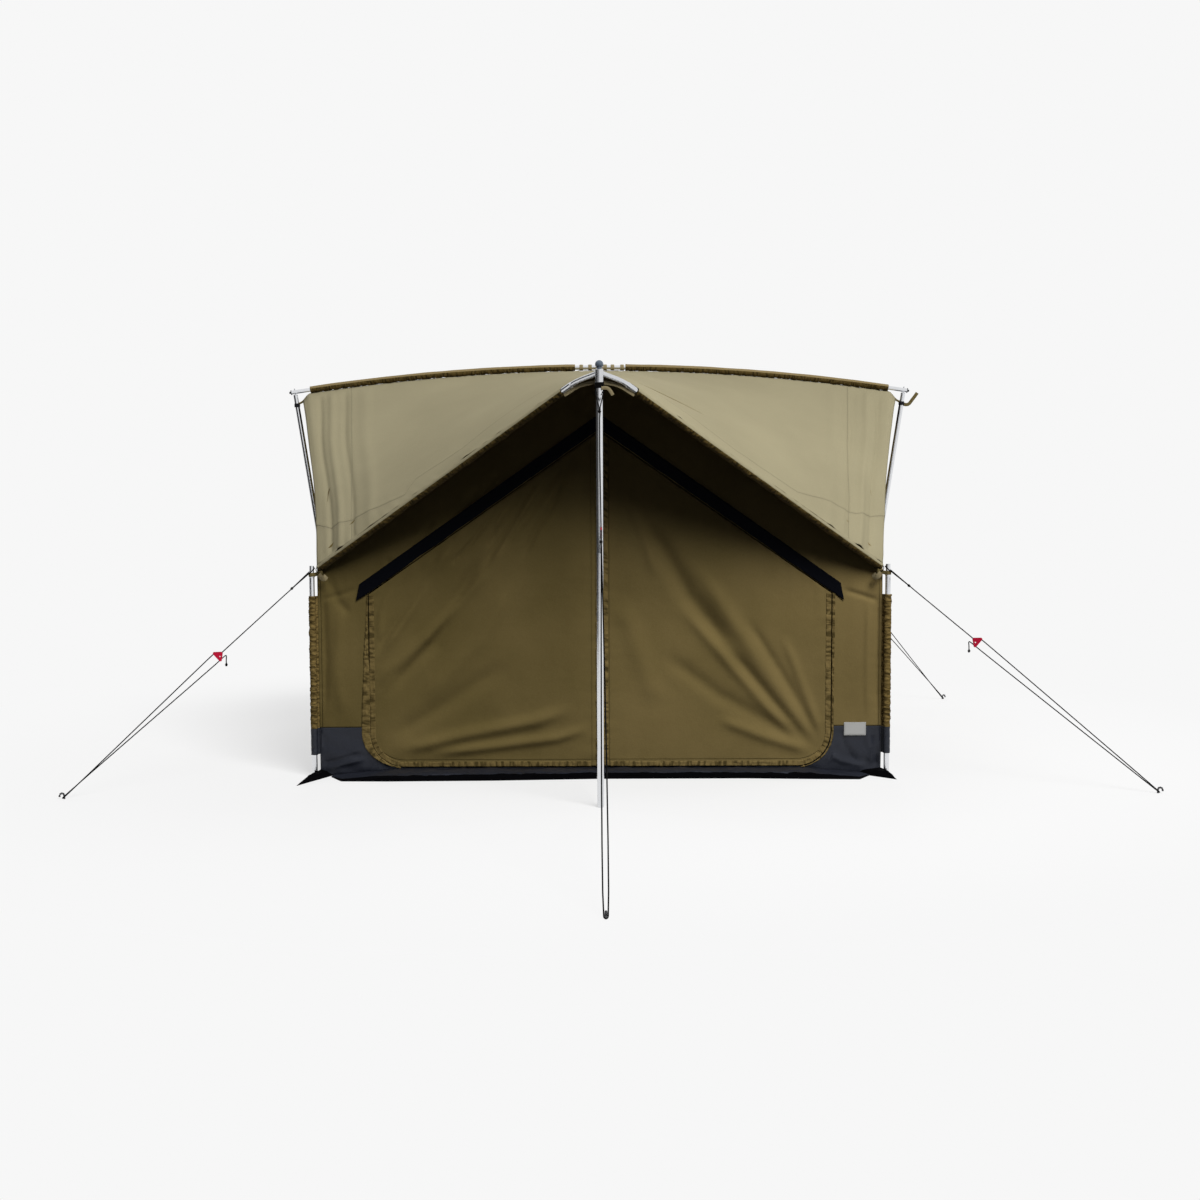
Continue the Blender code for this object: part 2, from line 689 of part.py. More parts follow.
def rear_place(across, up, forward):
    return Vector((across, WALL_Y + forward, up))


def make_rear_wall():
    half = WALL_X + CLOTH / 2
    right = [(half, TUB_TOP), *end_wall_outline(half, EAVES_GAP)]
    outline = right + [(-a, b) for a, b in reversed(right[:-1])]
    wall = panel("rear_wall", outline, rear_place, CLOTH, "wall")
    hole = panel("window_hole", window_outline(0), rear_place, 0.02, "wall")
    combine(wall, hole, "DIFFERENCE")


def window_outline(grow):
    """A rectangle with rounded corners."""
    radius = 0.06 + grow
    half = WINDOW_HALF + grow
    low, high = WINDOW_LOW - grow, WINDOW_HIGH + grow
    corners = [(half, high, 0), (-half, high, 90), (-half, low, 180), (half, low, 270)]
    outline = []
    for x, z, start in corners:
        centre_x = x - math.copysign(radius, x)
        centre_z = z - radius if z == high else z + radius
        for i in range(5):
            turn = math.radians(start + 90 * i / 4)
            outline.append((centre_x + radius * math.cos(turn), centre_z + radius * math.sin(turn)))
    return outline


def make_window():
    """A net in the rear wall and the cloth flap that hangs inside it from a hinge seam."""
    panel("rear_window_net", window_outline(-0.0004), rear_place, 0.0012, "net")
    half = WINDOW_HALF + 0.03
    low, high = WINDOW_LOW - 0.03, WINDOW_HINGE_Z
    outline = [(-half, low), (half, low), (half, high), (-half, high)]
    inside = WALL_Y - CLOTH / 2 - 0.0025

    def flap_place(across, up, forward):
        return Vector((across, inside - 0.001 + forward, up))

    flap = panel("rear_window_flap", outline, flap_place, 0.002, "wall")
    move_origin(flap, (0, inside, WINDOW_HINGE_Z))


def make_side_wall(name, side):
    half = WALL_Y - CLOTH / 2 - FIT
    ys, zs = roof_heights_at_x(WALL_X)
    places = [half, 1.1, 0.9, 0.7, 0.5, 0.3, 0.15, 0.0]
    heights = [float(np.interp(y, ys, zs)) - SIDE_EAVES_GAP for y in places]
    rear = [(half, TUB_TOP), *zip(places, heights)]
    outline = rear + [(-a, b) for a, b in reversed(rear[:-1])]

    def side_place(across, up, forward):
        return Vector((WALL_X * side + forward, across, up))

    panel(name, outline, side_place, CLOTH, "wall")


def make_tub():
    """The floor and the band that it turns up into the walls, with the doorway's notch."""
    x, y, top = WALL_X + CLOTH / 2, WALL_Y + CLOTH / 2, TUB_TOP - FIT
    notch = [p for p in door_outline(DOOR_GAP) if p[1] < top]
    notch.append((notch[-1][0], top))
    bm = bmesh.new()
    low = [bm.verts.new((a * x, b * y, GROUND)) for a, b in ((-1, -1), (1, -1), (1, 1), (-1, 1))]
    high = [bm.verts.new((a * x, b * y, top)) for a, b in ((-1, -1), (1, -1), (1, 1), (-1, 1))]
    lip = [bm.verts.new((a, -y, b)) for a, b in reversed(notch)]
    lip += [bm.verts.new((-a, -y, b)) for a, b in notch[1:]]
    bm.faces.new(low)
    bm.faces.new((low[1], low[2], high[2], high[1]))
    bm.faces.new((low[2], low[3], high[3], high[2]))
    bm.faces.new((low[3], low[0], high[0], high[3]))
    bm.faces.new([low[0], low[1], high[1], *lip, high[0]])
    tub = add_mesh("floor_tub", bm, "tub", smooth=False)
    thick = tub.modifiers.new("Cloth", "SOLIDIFY")
    thick.thickness = CLOTH
    thick.offset = -1
    thick.use_even_offset = True
    for side_name, side in SIDES.items():
        for end_name, end in ENDS.items():
            combine(tub, ground_flap(f"ground_flap_{end_name}_{side_name}", side, end), "UNION")
    combine(tub, sill(), "UNION")


def sill():
    """The low roll of slack groundsheet in front of the doorway."""
    inside = WALL_Y - FIT
    rings = []
    for x, reach, height in SILL:
        shoulder = (0.62 * reach, height)
        brow = (0.92 * reach, 0.72 * height)
        section = [(0, GROUND), (0, height), shoulder, brow, (reach, 0.3 * height), (reach, GROUND)]
        rings.append([Vector((x, -inside - forward, z)) for forward, z in section])
    return loft("sill", rings, "tub", closed=False)


def ground_flap(name, side, end):
    """The pointed corner patch that is pegged to the ground beside a corner pole."""
    inside = WALL_Y - FIT
    corner = WALL_X - FIT
    tip_x, tip_y = GROUND_FLAP if end > 0 else FRONT_FLAPS[side]
    seam_start, seam_rise = 1.35, 0.034  # the seam that joins it to the tub climbs to the corner
    points = [
        (tip_x, tip_y, GROUND),
        (seam_start, inside, GROUND),
        (corner, inside, GROUND),
        (seam_start + 0.04, inside, seam_rise * 0.65),
        (corner, inside, seam_rise),
        (tip_x - 0.004, tip_y - 0.007, 0.004),
    ]
    bm = bmesh.new()
    for point in points:
        bm.verts.new(mirrored(point, side, end))
    bmesh.ops.convex_hull(bm, input=bm.verts)
    return add_mesh(name, bm, "flap", smooth=False)


def make_corner_sleeve(name, side, end):
    """A cloth tube round a corner pole with the fin that joins it to the cabin."""
    low, high = CORNER_SLEEVE
    x, y = HALF_WIDTH * side, HALF_DEPTH * end
    inner = POLE_RADIUS + 0.001
    outer = inner + 0.0025
    path = [Vector((x, y, low)), Vector((x, y, high))]
    sleeve = tube(name, path, outer, outer - inner, "sleeve")
    seam = Vector((WALL_X * side, WALL_Y * end, 0))
    way = (seam - Vector((x, y, 0))).normalized()
    across = Vector((-way.y, way.x, 0)) * 0.001
    start = Vector((x, y, 0)) + way * (inner + 0.001)
    finish = seam - way * (CLOTH / 2 * math.sqrt(2) + FIT + 0.0005)
    bm = bmesh.new()
    base = [start - across, start + across, finish + across, finish - across]
    face = bm.faces.new([bm.verts.new(p + Vector((0, 0, low))) for p in base])
    grown = bmesh.ops.extrude_face_region(bm, geom=[face], use_keep_orig=True)
    top = [item for item in grown["geom"] if isinstance(item, bmesh.types.BMVert)]
    bmesh.ops.translate(bm, vec=(0, 0, high - low), verts=top)
    combine(sleeve, add_mesh(f"{name}_fin", bm, "sleeve", smooth=False), "UNION")


# The doorway


def door_fold(across, up):
    """Soft folds that fade out at the leaf's seams."""
    edge = min(across - 0.002, DOOR_HINGE_X - across) / 0.35
    low = (up - DOOR_BOTTOM) / 0.3
    high = (DOOR_SIDE_TOP + DOOR_SLOPE * (DOOR_HINGE_X - across) - up) / 0.3
    fade = max(0.0, min(1.0, edge, low, high))
    lean = across * 5.2 + up * 3.4
    return FOLD_DEPTH * fade * (math.sin(lean) + 0.5 * math.sin(2.3 * lean - 4 * up + 1))


def make_door(name, side):
    centre_gap = 0.0015
    outline = [(max(a, centre_gap), b) for a, b in door_outline(0)]
    cuts = [((x, 0, 0), (1, 0, 0)) for x in (0.15, 0.3, 0.45, 0.6, 0.75, 0.9, 1.05)]
    cuts += [((0, 0, z), (0, 0, 1)) for z in (0.2, 0.38, 0.56, 0.74, 0.92, 1.1, 1.3, 1.5)]

    def door_place(across, up, forward):
        return Vector((across * side, -WALL_Y + forward, up))

    leaf = panel(name, outline, door_place, CLOTH, "wall", cuts, door_fold)
    move_origin(leaf, (DOOR_HINGE_X * side, -WALL_Y, 0))


def move_origin(obj, position):
    """Puts a moving piece's origin on its hinge without moving the piece."""
    obj.data.transform(Matrix.Translation(-Vector(position)))
    obj.location = position


def make_storm_flap(name, side):
    """The dark strip sewn over the doorway's sloping top seam."""
    outline = [
        (0.004, FLAP_BASE_Z + DOOR_SLOPE * (FLAP_END_X - 0.004)),
        (FLAP_END_X, FLAP_BASE_Z),
        (FLAP_END_X - 0.018, FLAP_BASE_Z + FLAP_HEIGHT),
        (0.004, FLAP_BASE_Z + FLAP_HEIGHT + DOOR_SLOPE * (FLAP_END_X - 0.022)),
    ]

    def flap_place(across, up, forward):
        return Vector((across * side, -WALL_Y - CLOTH / 2 - FIT - 0.001 + forward, up))

    panel(name, outline, flap_place, 0.002, "flap")


def make_zip_slider():
    """The slider of the middle zip with its hanging pull, at the bottom of its travel."""
    y = -WALL_Y - CLOTH / 2 - 0.001
    body = box_mesh("zip_slider", (-0.015, y - 0.006, 0.085), (-0.003, y, 0.101), "zip")
    pull = box_mesh("zip_pull", (-0.012, y - 0.007, 0.055), (-0.006, y - 0.005, 0.09), "zip")
    combine(body, pull, "UNION")
    move_origin(body, (-0.009, y, 0.09))


# Guy ropes


class Line:
    """The straight line from a loop on a pole down to its peg, and places beside it."""

    def __init__(self, eye, eye_post, peg, share):
        self.eye = Vector(eye)
        self.peg = Vector((*peg, PEG_ROPE_Z))
        self.way = (self.peg - self.eye).normalized()
        self.across = Vector((-self.way.y, self.way.x, 0)).normalized()
        self.down = self.way.cross(self.across)
        if self.down.z > 0:
            self.down = -self.down
        self.level = Vector((self.way.x, self.way.y, 0))
        self.tensioner = self.eye + self.way * (share * (self.peg - self.eye).length)
        self.eye_post = eye_post

    def turn_round(self, centre, post, way, leave=90):
        """Half a turn of rope round an upright post, on the side that way points to."""
        reach = post + ROPE / 2 + ROPE_PLAY
        long_reach = reach / self.level.length
        turns = [math.radians(leave * i / 2) for i in range(-2, 3)]
        return [
            centre + way * (long_reach * math.cos(t)) + self.across * (reach * math.sin(t))
            for t in turns
        ]

    def at_tensioner(self, along, down):
        return self.tensioner + self.way * along + self.down * down

    def channel(self):
        """From the line above the tensioner through its body to the lower line."""
        back, spread = HOLE_BACK, HOLE_SPREAD
        places = [(-0.03, 0), (-0.012, 0), (0, -0.001), (back / 2, -spread / 2)]
        places += [(back, 0.001 - spread), (back + 0.012, -spread), (back + 0.03, -spread)]
        return [self.at_tensioner(*place_at) for place_at in places]

    def route(self):
        """The whole rope: loop, knot, tensioner, peg, back to the tensioner and its tail."""
        knot = self.eye + self.way * EYE_LENGTH
        beside = self.across * (ROPE / 2 + ROPE_PLAY)
        points = [knot - beside, knot - beside - self.way * 0.03]
        points += self.turn_round(self.eye, self.eye_post, -self.way, leave=100)
        points += [knot + beside - self.way * 0.03, knot + beside, knot + self.way * 0.05]
        points += self.channel()
        points += self.turn_round(self.peg, PEG_RADIUS, self.way)[::-1]
        back, spread = HOLE_BACK, HOLE_SPREAD
        points += [self.at_tensioner(along, spread) for along in (back + 0.03, back, 0)]
        bend = self.at_tensioner(-0.012, spread) + Vector((0, 0, -0.004))
        return points + [bend, bend + Vector((0, 0, -TAIL / 2)), bend + Vector((0, 0, -TAIL))]


def smooth_route(points):
    """A smooth curve through a route's own points, with points between them where it bends."""
    points = np.array(points, float)
    ring = np.vstack([2 * points[0] - points[1], points, 2 * points[-1] - points[-2]])
    route = []
    for i in range(1, len(ring) - 2):
        a, b, c, d = ring[i - 1 : i + 3]
        gaps = [np.linalg.norm(q - p) ** 0.5 for p, q in ((a, b), (b, c), (c, d))]
        start = (b - a) / gaps[0] - (c - a) / (gaps[0] + gaps[1]) + (c - b) / gaps[1]
        finish = (c - b) / gaps[1] - (d - b) / (gaps[1] + gaps[2]) + (d - c) / gaps[2]
        start, finish = start * gaps[1], finish * gaps[1]
        bend = turning(start, c - b) + turning(c - b, finish)
        steps = max(1, math.ceil(bend / BEND_PER_POINT))
        for t in np.arange(steps) / steps:
            point = (2 * t**3 - 3 * t**2 + 1) * b + (t**3 - 2 * t**2 + t) * start
            route.append(point + (-2 * t**3 + 3 * t**2) * c + (t**3 - t**2) * finish)
    return [Vector(point) for point in [*route, points[-1]]]


def turning(way, next_way):
    """Angle in radians between two directions."""
    return Vector(way).angle(Vector(next_way))


def rope_curve(name, points, radius):
    curve = bpy.data.curves.new(name, "CURVE")
    curve.dimensions = "3D"
    curve.bevel_depth = radius
    curve.bevel_resolution = 2
    curve.use_fill_caps = True
    spline = curve.splines.new("POLY")
    route = smooth_route(points)
    spline.points.add(len(route) - 1)
    for point, place_at in zip(spline.points, route):
        point.co = (*place_at, 1)
    curve.materials.append(material("rope"))
    obj = bpy.data.objects.new(name, curve)
    bpy.context.collection.objects.link(obj)
    return obj


def plate_corner(along, down, radius, count=10):
    turns = [2 * math.pi * i / count for i in range(count)]
    return [(along + radius * math.cos(t), down + radius * math.sin(t)) for t in turns]


def make_tensioner(name, line):
    """A thick triangular plate with a bent channel for the rope and a hole for its end."""
    corners = [(0.001, 0), (HOLE_BACK, HOLE_SPREAD), (HOLE_BACK, -HOLE_SPREAD)]
    frame = Matrix((line.way, line.down, line.way.cross(line.down))).transposed().to_4x4()
    bm = bmesh.new()
    for along, down in corners:
        for x, y in plate_corner(along, down, PLATE_EDGE - 0.0015):
            bm.verts.new((x, y, PLATE / 2))
            bm.verts.new((x, y, -PLATE / 2))
        for x, y in plate_corner(along, down, PLATE_EDGE):
            bm.verts.new((x, y, PLATE / 2 - 0.0015))
            bm.verts.new((x, y, 0.0015 - PLATE / 2))
    bmesh.ops.convex_hull(bm, input=bm.verts)
    loose = [vert for vert in bm.verts if not vert.link_faces]
    bmesh.ops.delete(bm, geom=loose, context="VERTS")
    bmesh.ops.dissolve_limit(bm, angle_limit=0.01, verts=bm.verts, edges=bm.edges)
    plate = add_mesh(name, bm, "tensioner")
    plate.matrix_world = Matrix.Translation(line.tensioner) @ frame
    channel = rope_bore(f"{name}_channel", line.channel())
    combine(plate, channel, "DIFFERENCE")
    end_hole = [line.at_tensioner(-0.03, HOLE_SPREAD), line.at_tensioner(HOLE_BACK + 0.03, HOLE_SPREAD)]
    combine(plate, rope_bore(f"{name}_end_hole", end_hole), "DIFFERENCE")
    middle = line.at_tensioner(0.017, 0.008)
    normal = line.way.cross(line.down)
    window = [middle - normal * 0.02, middle + normal * 0.02]
    combine(plate, rod(f"{name}_window", window, [PLATE_HOLE] * 2, "tensioner", 10), "DIFFERENCE")


def rope_bore(name, points):
    """A solid bar with room for the rope along a smooth curve."""
    path = smooth_route(points) if len(points) > 2 else points
    return rod(name, path, [ROPE / 2 + ROPE_PLAY] * len(path), "tensioner", 8)


def make_peg(name, line):
    """The head of a hooked steel pin, cut off at the ground."""
    away = line.level.normalized()
    foot = Vector((line.peg.x, line.peg.y, GROUND))
    neck = foot + Vector((0, 0, 0.018))
    bend = 0.011
    turns = [math.radians(a) for a in (0, 45, 90, 135, 180)]
    arc = [neck + away * (bend - bend * math.cos(t)) + Vector((0, 0, bend * math.sin(t))) for t in turns]
    path = [foot, *arc, arc[-1] - Vector((0, 0, 0.006))]
    rod(name, path, [PEG_RADIUS] * len(path), "peg", 10)


def make_guys():
    for where, (eye, post, peg, share) in GUYS.items():
        line = Line(eye, post, peg, share)
        rope_curve(f"guy_rope_{where}", line.route(), ROPE / 2)
        make_tensioner(f"tensioner_{where}", line)
        make_peg(f"peg_{where}", line)


def clear_scene():
    for obj in list(bpy.data.objects):
        bpy.data.objects.remove(obj)


def main():
    clear_scene()
    for end_name, end in ENDS.items():
        make_hub(end_name, end)
        make_hub_cap(end_name, end)
        make_centre_pole(end_name, end)
        make_ridge_pole(f"ridge_pole_{end_name}", end)
        for side_name, side in SIDES.items():
            where = f"{end_name}_{side_name}"
            make_corner_pole(f"corner_pole_{where}", side, end)
            make_corner_sleeve(f"corner_sleeve_{where}", side, end)
            make_rafter(f"rafter_{where}", side, end)
            make_roof(f"roof_{where}", side, end)
    for side_name, side in SIDES.items():
        make_cross_pole(side_name, side)
        make_end_plug(side_name, side)
        make_side_pole(side_name, side)
        make_side_wall(f"side_wall_{side_name}", side)
        make_door(f"door_{side_name}", side)
        make_storm_flap(f"storm_flap_{side_name}", side)
    make_crown()
    make_roof_sleeves()
    make_crown_tabs()
    make_front_wall()
    make_rear_wall()
    make_window()
    make_tub()
    make_zip_slider()
    make_guys()


main()
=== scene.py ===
# %% [markdown]
# A square canvas tent with an outside frame of aluminium tubes. The tubes, hubs, plugs, plates and
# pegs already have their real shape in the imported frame, so here they only get a finish. The canvas,
# the webbing and the ropes are what this script makes. Everything is in metres, +Z up, with the
# doorway at -Y and the origin on the ground in the middle of the plan.

# %% Load the frame
import math

import bmesh
import bpy
import numpy as np
from mathutils import Matrix, Vector, noise


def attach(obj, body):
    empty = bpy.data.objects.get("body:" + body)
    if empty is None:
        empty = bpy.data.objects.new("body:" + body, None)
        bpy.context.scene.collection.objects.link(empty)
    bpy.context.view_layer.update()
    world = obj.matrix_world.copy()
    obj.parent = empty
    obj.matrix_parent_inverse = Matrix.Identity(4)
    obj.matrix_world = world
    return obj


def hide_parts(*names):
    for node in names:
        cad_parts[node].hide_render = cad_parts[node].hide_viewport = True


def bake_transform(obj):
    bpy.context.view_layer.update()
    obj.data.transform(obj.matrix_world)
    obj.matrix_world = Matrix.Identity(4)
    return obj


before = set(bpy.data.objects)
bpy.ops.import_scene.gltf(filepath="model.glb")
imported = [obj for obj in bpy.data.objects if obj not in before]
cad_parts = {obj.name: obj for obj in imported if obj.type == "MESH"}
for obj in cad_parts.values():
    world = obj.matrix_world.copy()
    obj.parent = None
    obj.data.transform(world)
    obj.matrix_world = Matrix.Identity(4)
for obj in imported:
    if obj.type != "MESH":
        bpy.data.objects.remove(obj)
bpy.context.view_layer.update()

# %% [markdown]
# The sizes that the cloth is cut to are the ones that the frame was built from. They are written
# here once, and every panel is worked out from them, so that the canvas meets its poles.

# %% Sizes
HALF_WIDTH, HALF_DEPTH = 1.5, 1.25
HUB_Y, HUB_Z, CROWN_Z = 2.06, 2.04, 2.225
CROSS_RISE, TIP_X = 0.14, 1.8155
ARM_END = Vector((0.17, 1.967, 1.962))
RAFTER_END = Vector((1.44, 1.262, 1.11))
CENTRE_RADIUS, POLE_RADIUS, STUB_RADIUS = 0.0165, 0.014, 0.012
CLOTH, GROUND, FIT = 0.003, 0.0002, 0.0003  # the solids' cloth, and their gaps to the ground and others
CANVAS = 0.0012  # thickness of the canvas that shows
WALL_X, WALL_Y = 1.475, 1.225
SLEEVE_RADIUS = 0.0192
SLEEVE_END_X, SLEEVE_FRONT_Y, SLEEVE_BACK_Y = 1.723, 1.935, 0.09
EAVES_GAP, SIDE_EAVES_GAP = 0.007, 0.014  # from the walls' top edges up to the roof
ROOF_DROP = SLEEVE_RADIUS + 0.0005 + CLOTH / 2  # from a pole's axis down to the roof's cloth
HEM_RADIUS, HEM_START_X = 0.018, 0.175
ROOF_CORNER_X, ROOF_TIP_X = 1.461, 1.77
TIP_DIP, EDGE_SCOOP = 0.036, 0.035  # the roof drops this much at its tips, and is cut in at its edge
TUB_TOP = 0.255
DOOR_HINGE_X, DOOR_BOTTOM, DOOR_CORNER = 1.212, 0.045, 0.18
DOOR_SIDE_TOP, DOOR_SLOPE, DOOR_GAP = 0.953, 0.70, 0.005
FLAP_HEIGHT, FLAP_END_X, FLAP_BASE_Z = 0.092, 1.275, 0.918
WINDOW_HALF, WINDOW_LOW, WINDOW_HIGH, WINDOW_HINGE_Z = 0.45, 0.98, 1.50, 1.55
SIDES = {"left": -1, "right": 1}
ENDS = {"front": -1, "rear": 1}
CORNERS = [(f"{end}_{side}", SIDES[side], ENDS[end]) for end in ENDS for side in SIDES]
print("cabin", 2 * HALF_WIDTH, "by", 2 * HALF_DEPTH, "m between its corner poles, hubs at", HUB_Z, "m")

# %% [markdown]
# The picture was taken from eye height straight in front of the door. How much smaller the far
# things look than the near ones gives the distance as a share of the tent's depth, and the horizon
# gives the height and the tilt. The lens follows from the distance.

# %% Camera
CAMERA_PLACE = (0, -9.25, 1.498)
CAMERA_TILT, CAMERA_ROLL = math.radians(4.10), math.radians(0.2)
PICTURE, FOCAL_PIXELS = 1200, 1539

camera_data = bpy.data.cameras.new("camera")
camera_data.sensor_width = 36
camera_data.lens = camera_data.sensor_width * FOCAL_PIXELS / PICTURE
camera = bpy.data.objects.new("camera", camera_data)
turn = Matrix.Rotation(math.pi / 2 - CAMERA_TILT, 4, "X") @ Matrix.Rotation(-CAMERA_ROLL, 4, "Z")
camera.matrix_world = Matrix.Translation(CAMERA_PLACE) @ turn
bpy.context.collection.objects.link(camera)
bpy.context.scene.camera = camera
print("lens", round(camera_data.lens, 1), "mm")

# %% [markdown]
# A material is a small tree of nodes. Written as sums and products it stays readable, so one class
# stands for a socket and adds a Math node for each operator, and another holds the material being
# made and adds any other node. Values that are the same all over the surface are set on the shader.

# %% Shader values
class Value:
    """A socket whose sums, products and comparisons add their nodes."""

    def __init__(self, finish, socket):
        self.finish = finish
        self.socket = socket

    def maths(self, operation, first, second):
        return self.finish.node("Math", {0: first, 1: second}, operation=operation)

    def __add__(self, other):
        return self.maths("ADD", self, other)

    def __sub__(self, other):
        return self.maths("SUBTRACT", self, other)

    def __rsub__(self, other):
        return self.maths("SUBTRACT", other, self)

    def __mul__(self, other):
        return self.maths("MULTIPLY", self, other)

    def __gt__(self, other):
        return self.maths("GREATER_THAN", self, other)

    def __lt__(self, other):
        return self.maths("LESS_THAN", self, other)

    def __abs__(self):
        return self.maths("ABSOLUTE", self, 0.0)

    __radd__ = __add__
    __rmul__ = __mul__


# %% Materials in the making
class Finish:
    """A material, its Principled shader and one way to add any node."""

    def __init__(self, name, constants):
        self.material = bpy.data.materials.new(name)
        self.material.use_nodes = True
        self.tree = self.material.node_tree
        self.shader = self.tree.nodes["Principled BSDF"]
        for socket, value in constants.items():
            self.shader.inputs[socket].default_value = value

    def node(self, kind, inputs, output=0, **settings):
        made = self.tree.nodes.new(f"ShaderNode{kind}")
        for setting, value in settings.items():
            setattr(made, setting, value)
        for socket, value in inputs.items():
            self.set(made.inputs[socket], value)
        return Value(self, made.outputs[output])

    def set(self, socket, value):
        if isinstance(value, Value):
            self.tree.links.new(value.socket, socket)
        elif isinstance(value, tuple) and len(value) == 3 and socket.type == "RGBA":
            socket.default_value = (*value, 1)
        else:
            socket.default_value = value

    def feed(self, **sockets):
        for name, value in sockets.items():
            self.set(self.shader.inputs[name.replace("_", " ")], value)
        return self

    def place(self):
        return self.node("TexCoord", {}, output="Object")

    def cloth(self):
        """The sheet's own coordinates: metres along it and across it."""
        return self.node("UVMap", {}, uv_map="Cloth")

    def seam(self, name):
        """Metres from a seam's line, and how strong it is here."""
        found = self.node("UVMap", {}, uv_map=name)
        return self.along(found, "X"), self.along(found, "Y")

    def between(self, value, low, high, start=0.0, end=1.0):
        """A soft step of a value from start to end."""
        values = {0: value, 1: low, 2: high, 3: start, 4: end}
        return self.node("MapRange", values, interpolation_type="SMOOTHSTEP")

    def noise(self, place, scale, detail=3, roughness=0.5):
        values = {"Vector": place, "Scale": scale, "Detail": detail, "Roughness": roughness}
        return self.node("TexNoise", values)

    def bands(self, place, period, way):
        """Even ridges, a period apart, across X or Y."""
        values = {"Vector": place, "Scale": 2 * math.pi / 20 / period}
        return self.node("TexWave", values, bands_direction=way)

    def mix(self, share, first, second):
        return self.node("Mix", {0: share, 6: first, 7: second}, output=2, data_type="RGBA")

    def bump(self, height, distance):
        return self.node("Bump", {"Height": height, "Distance": distance})

    def along(self, place, axis):
        return self.node("SeparateXYZ", {0: place}, output=axis)


def linear(red, green, blue):
    """A colour given as 0 to 255 values, in the linear light that shaders use."""
    parts = [channel / 255 for channel in (red, green, blue)]
    return tuple(p / 12.92 if p <= 0.04045 else ((p + 0.055) / 1.055) ** 2.4 for p in parts)


# %% [markdown]
# Canvas is woven, so close up it has threads both ways, and from a step away it has soft patches
# where the dye took differently and fine creases from being folded. The threads follow the sheet's
# own coordinates, in metres, and the patches follow the place in the tent. A seam could be modelled
# in the mesh, but it is only 6 mm wide on a sheet of 2 m. So each sheet carries its distance from
# the seam as a second set of coordinates, and the material draws the line and its stitches there:
# a dark joint, with painted shade as of its hollow. Where a strip is gathered, its small puckers get
# painted shade in their hollows, drawn the same way.

# %% Canvas finishes
THREAD = 0.0016
SEAM_MAPS = ("Seam", "Second Seam")
SEAM_HALF, STITCH_OFF, STITCH_PITCH = 0.0030, 0.0062, 0.0042
HOLLOW = 0.42  # how dark the painted shade in the hollow of a seam or a pucker is, as a share of the cloth's darker colour


def sewn(finish, name, place):
    """Shade and height of one seam: a dark joint with a row of stitches beside it."""
    distance, strength = finish.seam(name)
    joint = finish.between(abs(distance), 0.0006, SEAM_HALF, 1.0, 0.0) * strength
    ticks = finish.noise(place, 1 / STITCH_PITCH, detail=0) > 0.5
    row = finish.between(abs(abs(distance) - STITCH_OFF), 0.0004, 0.0012, 1.0, 0.0)
    lap = finish.between(distance, -0.001, 0.001) * strength
    return joint, row * ticks * strength, lap


def canvas(name, dark, light, crease=0.0016, gloss=0.2, painted_light_to_right=0.0, gathers=0.0, lean=0.25):
    """Woven cloth from dark to light.

    painted_light_to_right lightens it towards the right of the tent: painted light, as more light falls
    there. gathers is the spacing of small puckers across the sheet, with painted shade in their
    hollows, and lean is how far they slant.
    """
    finish = Finish(name, {"Roughness": 0.86, "Specular IOR Level": gloss})
    place, cloth = finish.place(), finish.cloth()
    patches = finish.noise(place, 2.3, detail=4)
    flecks = finish.noise(place, 160, detail=2)
    threads = finish.bands(cloth, THREAD, "X") * 0.5 + finish.bands(cloth, THREAD, "Y") * 0.5
    share = patches * 0.75 + flecks * 0.3 + threads * 0.12 - 0.1
    # painted light: the cloth is made lighter towards the right of the tent, where more light falls
    if painted_light_to_right:
        share = share + finish.along(place, "X") * painted_light_to_right
    creases = finish.noise(place, 14, detail=5, roughness=0.62)
    height = creases * 0.8 + threads * 0.06 + flecks * 0.04
    colour = finish.mix(share, dark, light)
    # painted shade: the dark colour drawn into the hollows of puckers and seams
    shadow = tuple(channel * HOLLOW for channel in dark)
    if gathers:
        # the puckers are a bump, with painted shade in their hollows
        turned = {"Vector": cloth, "Rotation": (0, 0, lean), "Scale": (1, 0.25, 1)}
        puckers = finish.noise(finish.node("Mapping", turned), 1 / gathers, detail=2)
        colour = finish.mix(finish.between(puckers, 0.36, 0.56, 0.85, 0.0), colour, shadow)
        height = height + puckers * 1.6
    for seam in SEAM_MAPS:
        joint, stitches, lap = sewn(finish, seam, place)
        # a seam's joint is dark, with painted shade as of its hollow, and its stitches take the same
        # colour
        colour = finish.mix(joint * 0.75, colour, shadow)
        colour = finish.mix(stitches * 0.5, colour, shadow)
        height = height + lap * 0.7 - joint * 0.9 - stitches * 0.25
    return finish.feed(Base_Color=colour, Normal=finish.bump(height, crease)).material


# the gathers of the zip cover, gathered and wrinkled canvas paint shade into their puckers' hollows
roof_canvas = canvas("roof canvas", linear(136, 129, 104), linear(158, 150, 122), crease=0.0022)
wall_canvas = canvas("wall canvas", linear(87, 76, 42), linear(127, 110, 71), crease=0.0026,
                     painted_light_to_right=0.16)
zip_canvas = canvas("zip cover canvas", linear(98, 84, 48), linear(134, 115, 74), crease=0.004,
                    painted_light_to_right=0.10, gathers=0.022)
sleeve_canvas = canvas("sleeve canvas", linear(118, 103, 70), linear(142, 126, 92), crease=0.003)
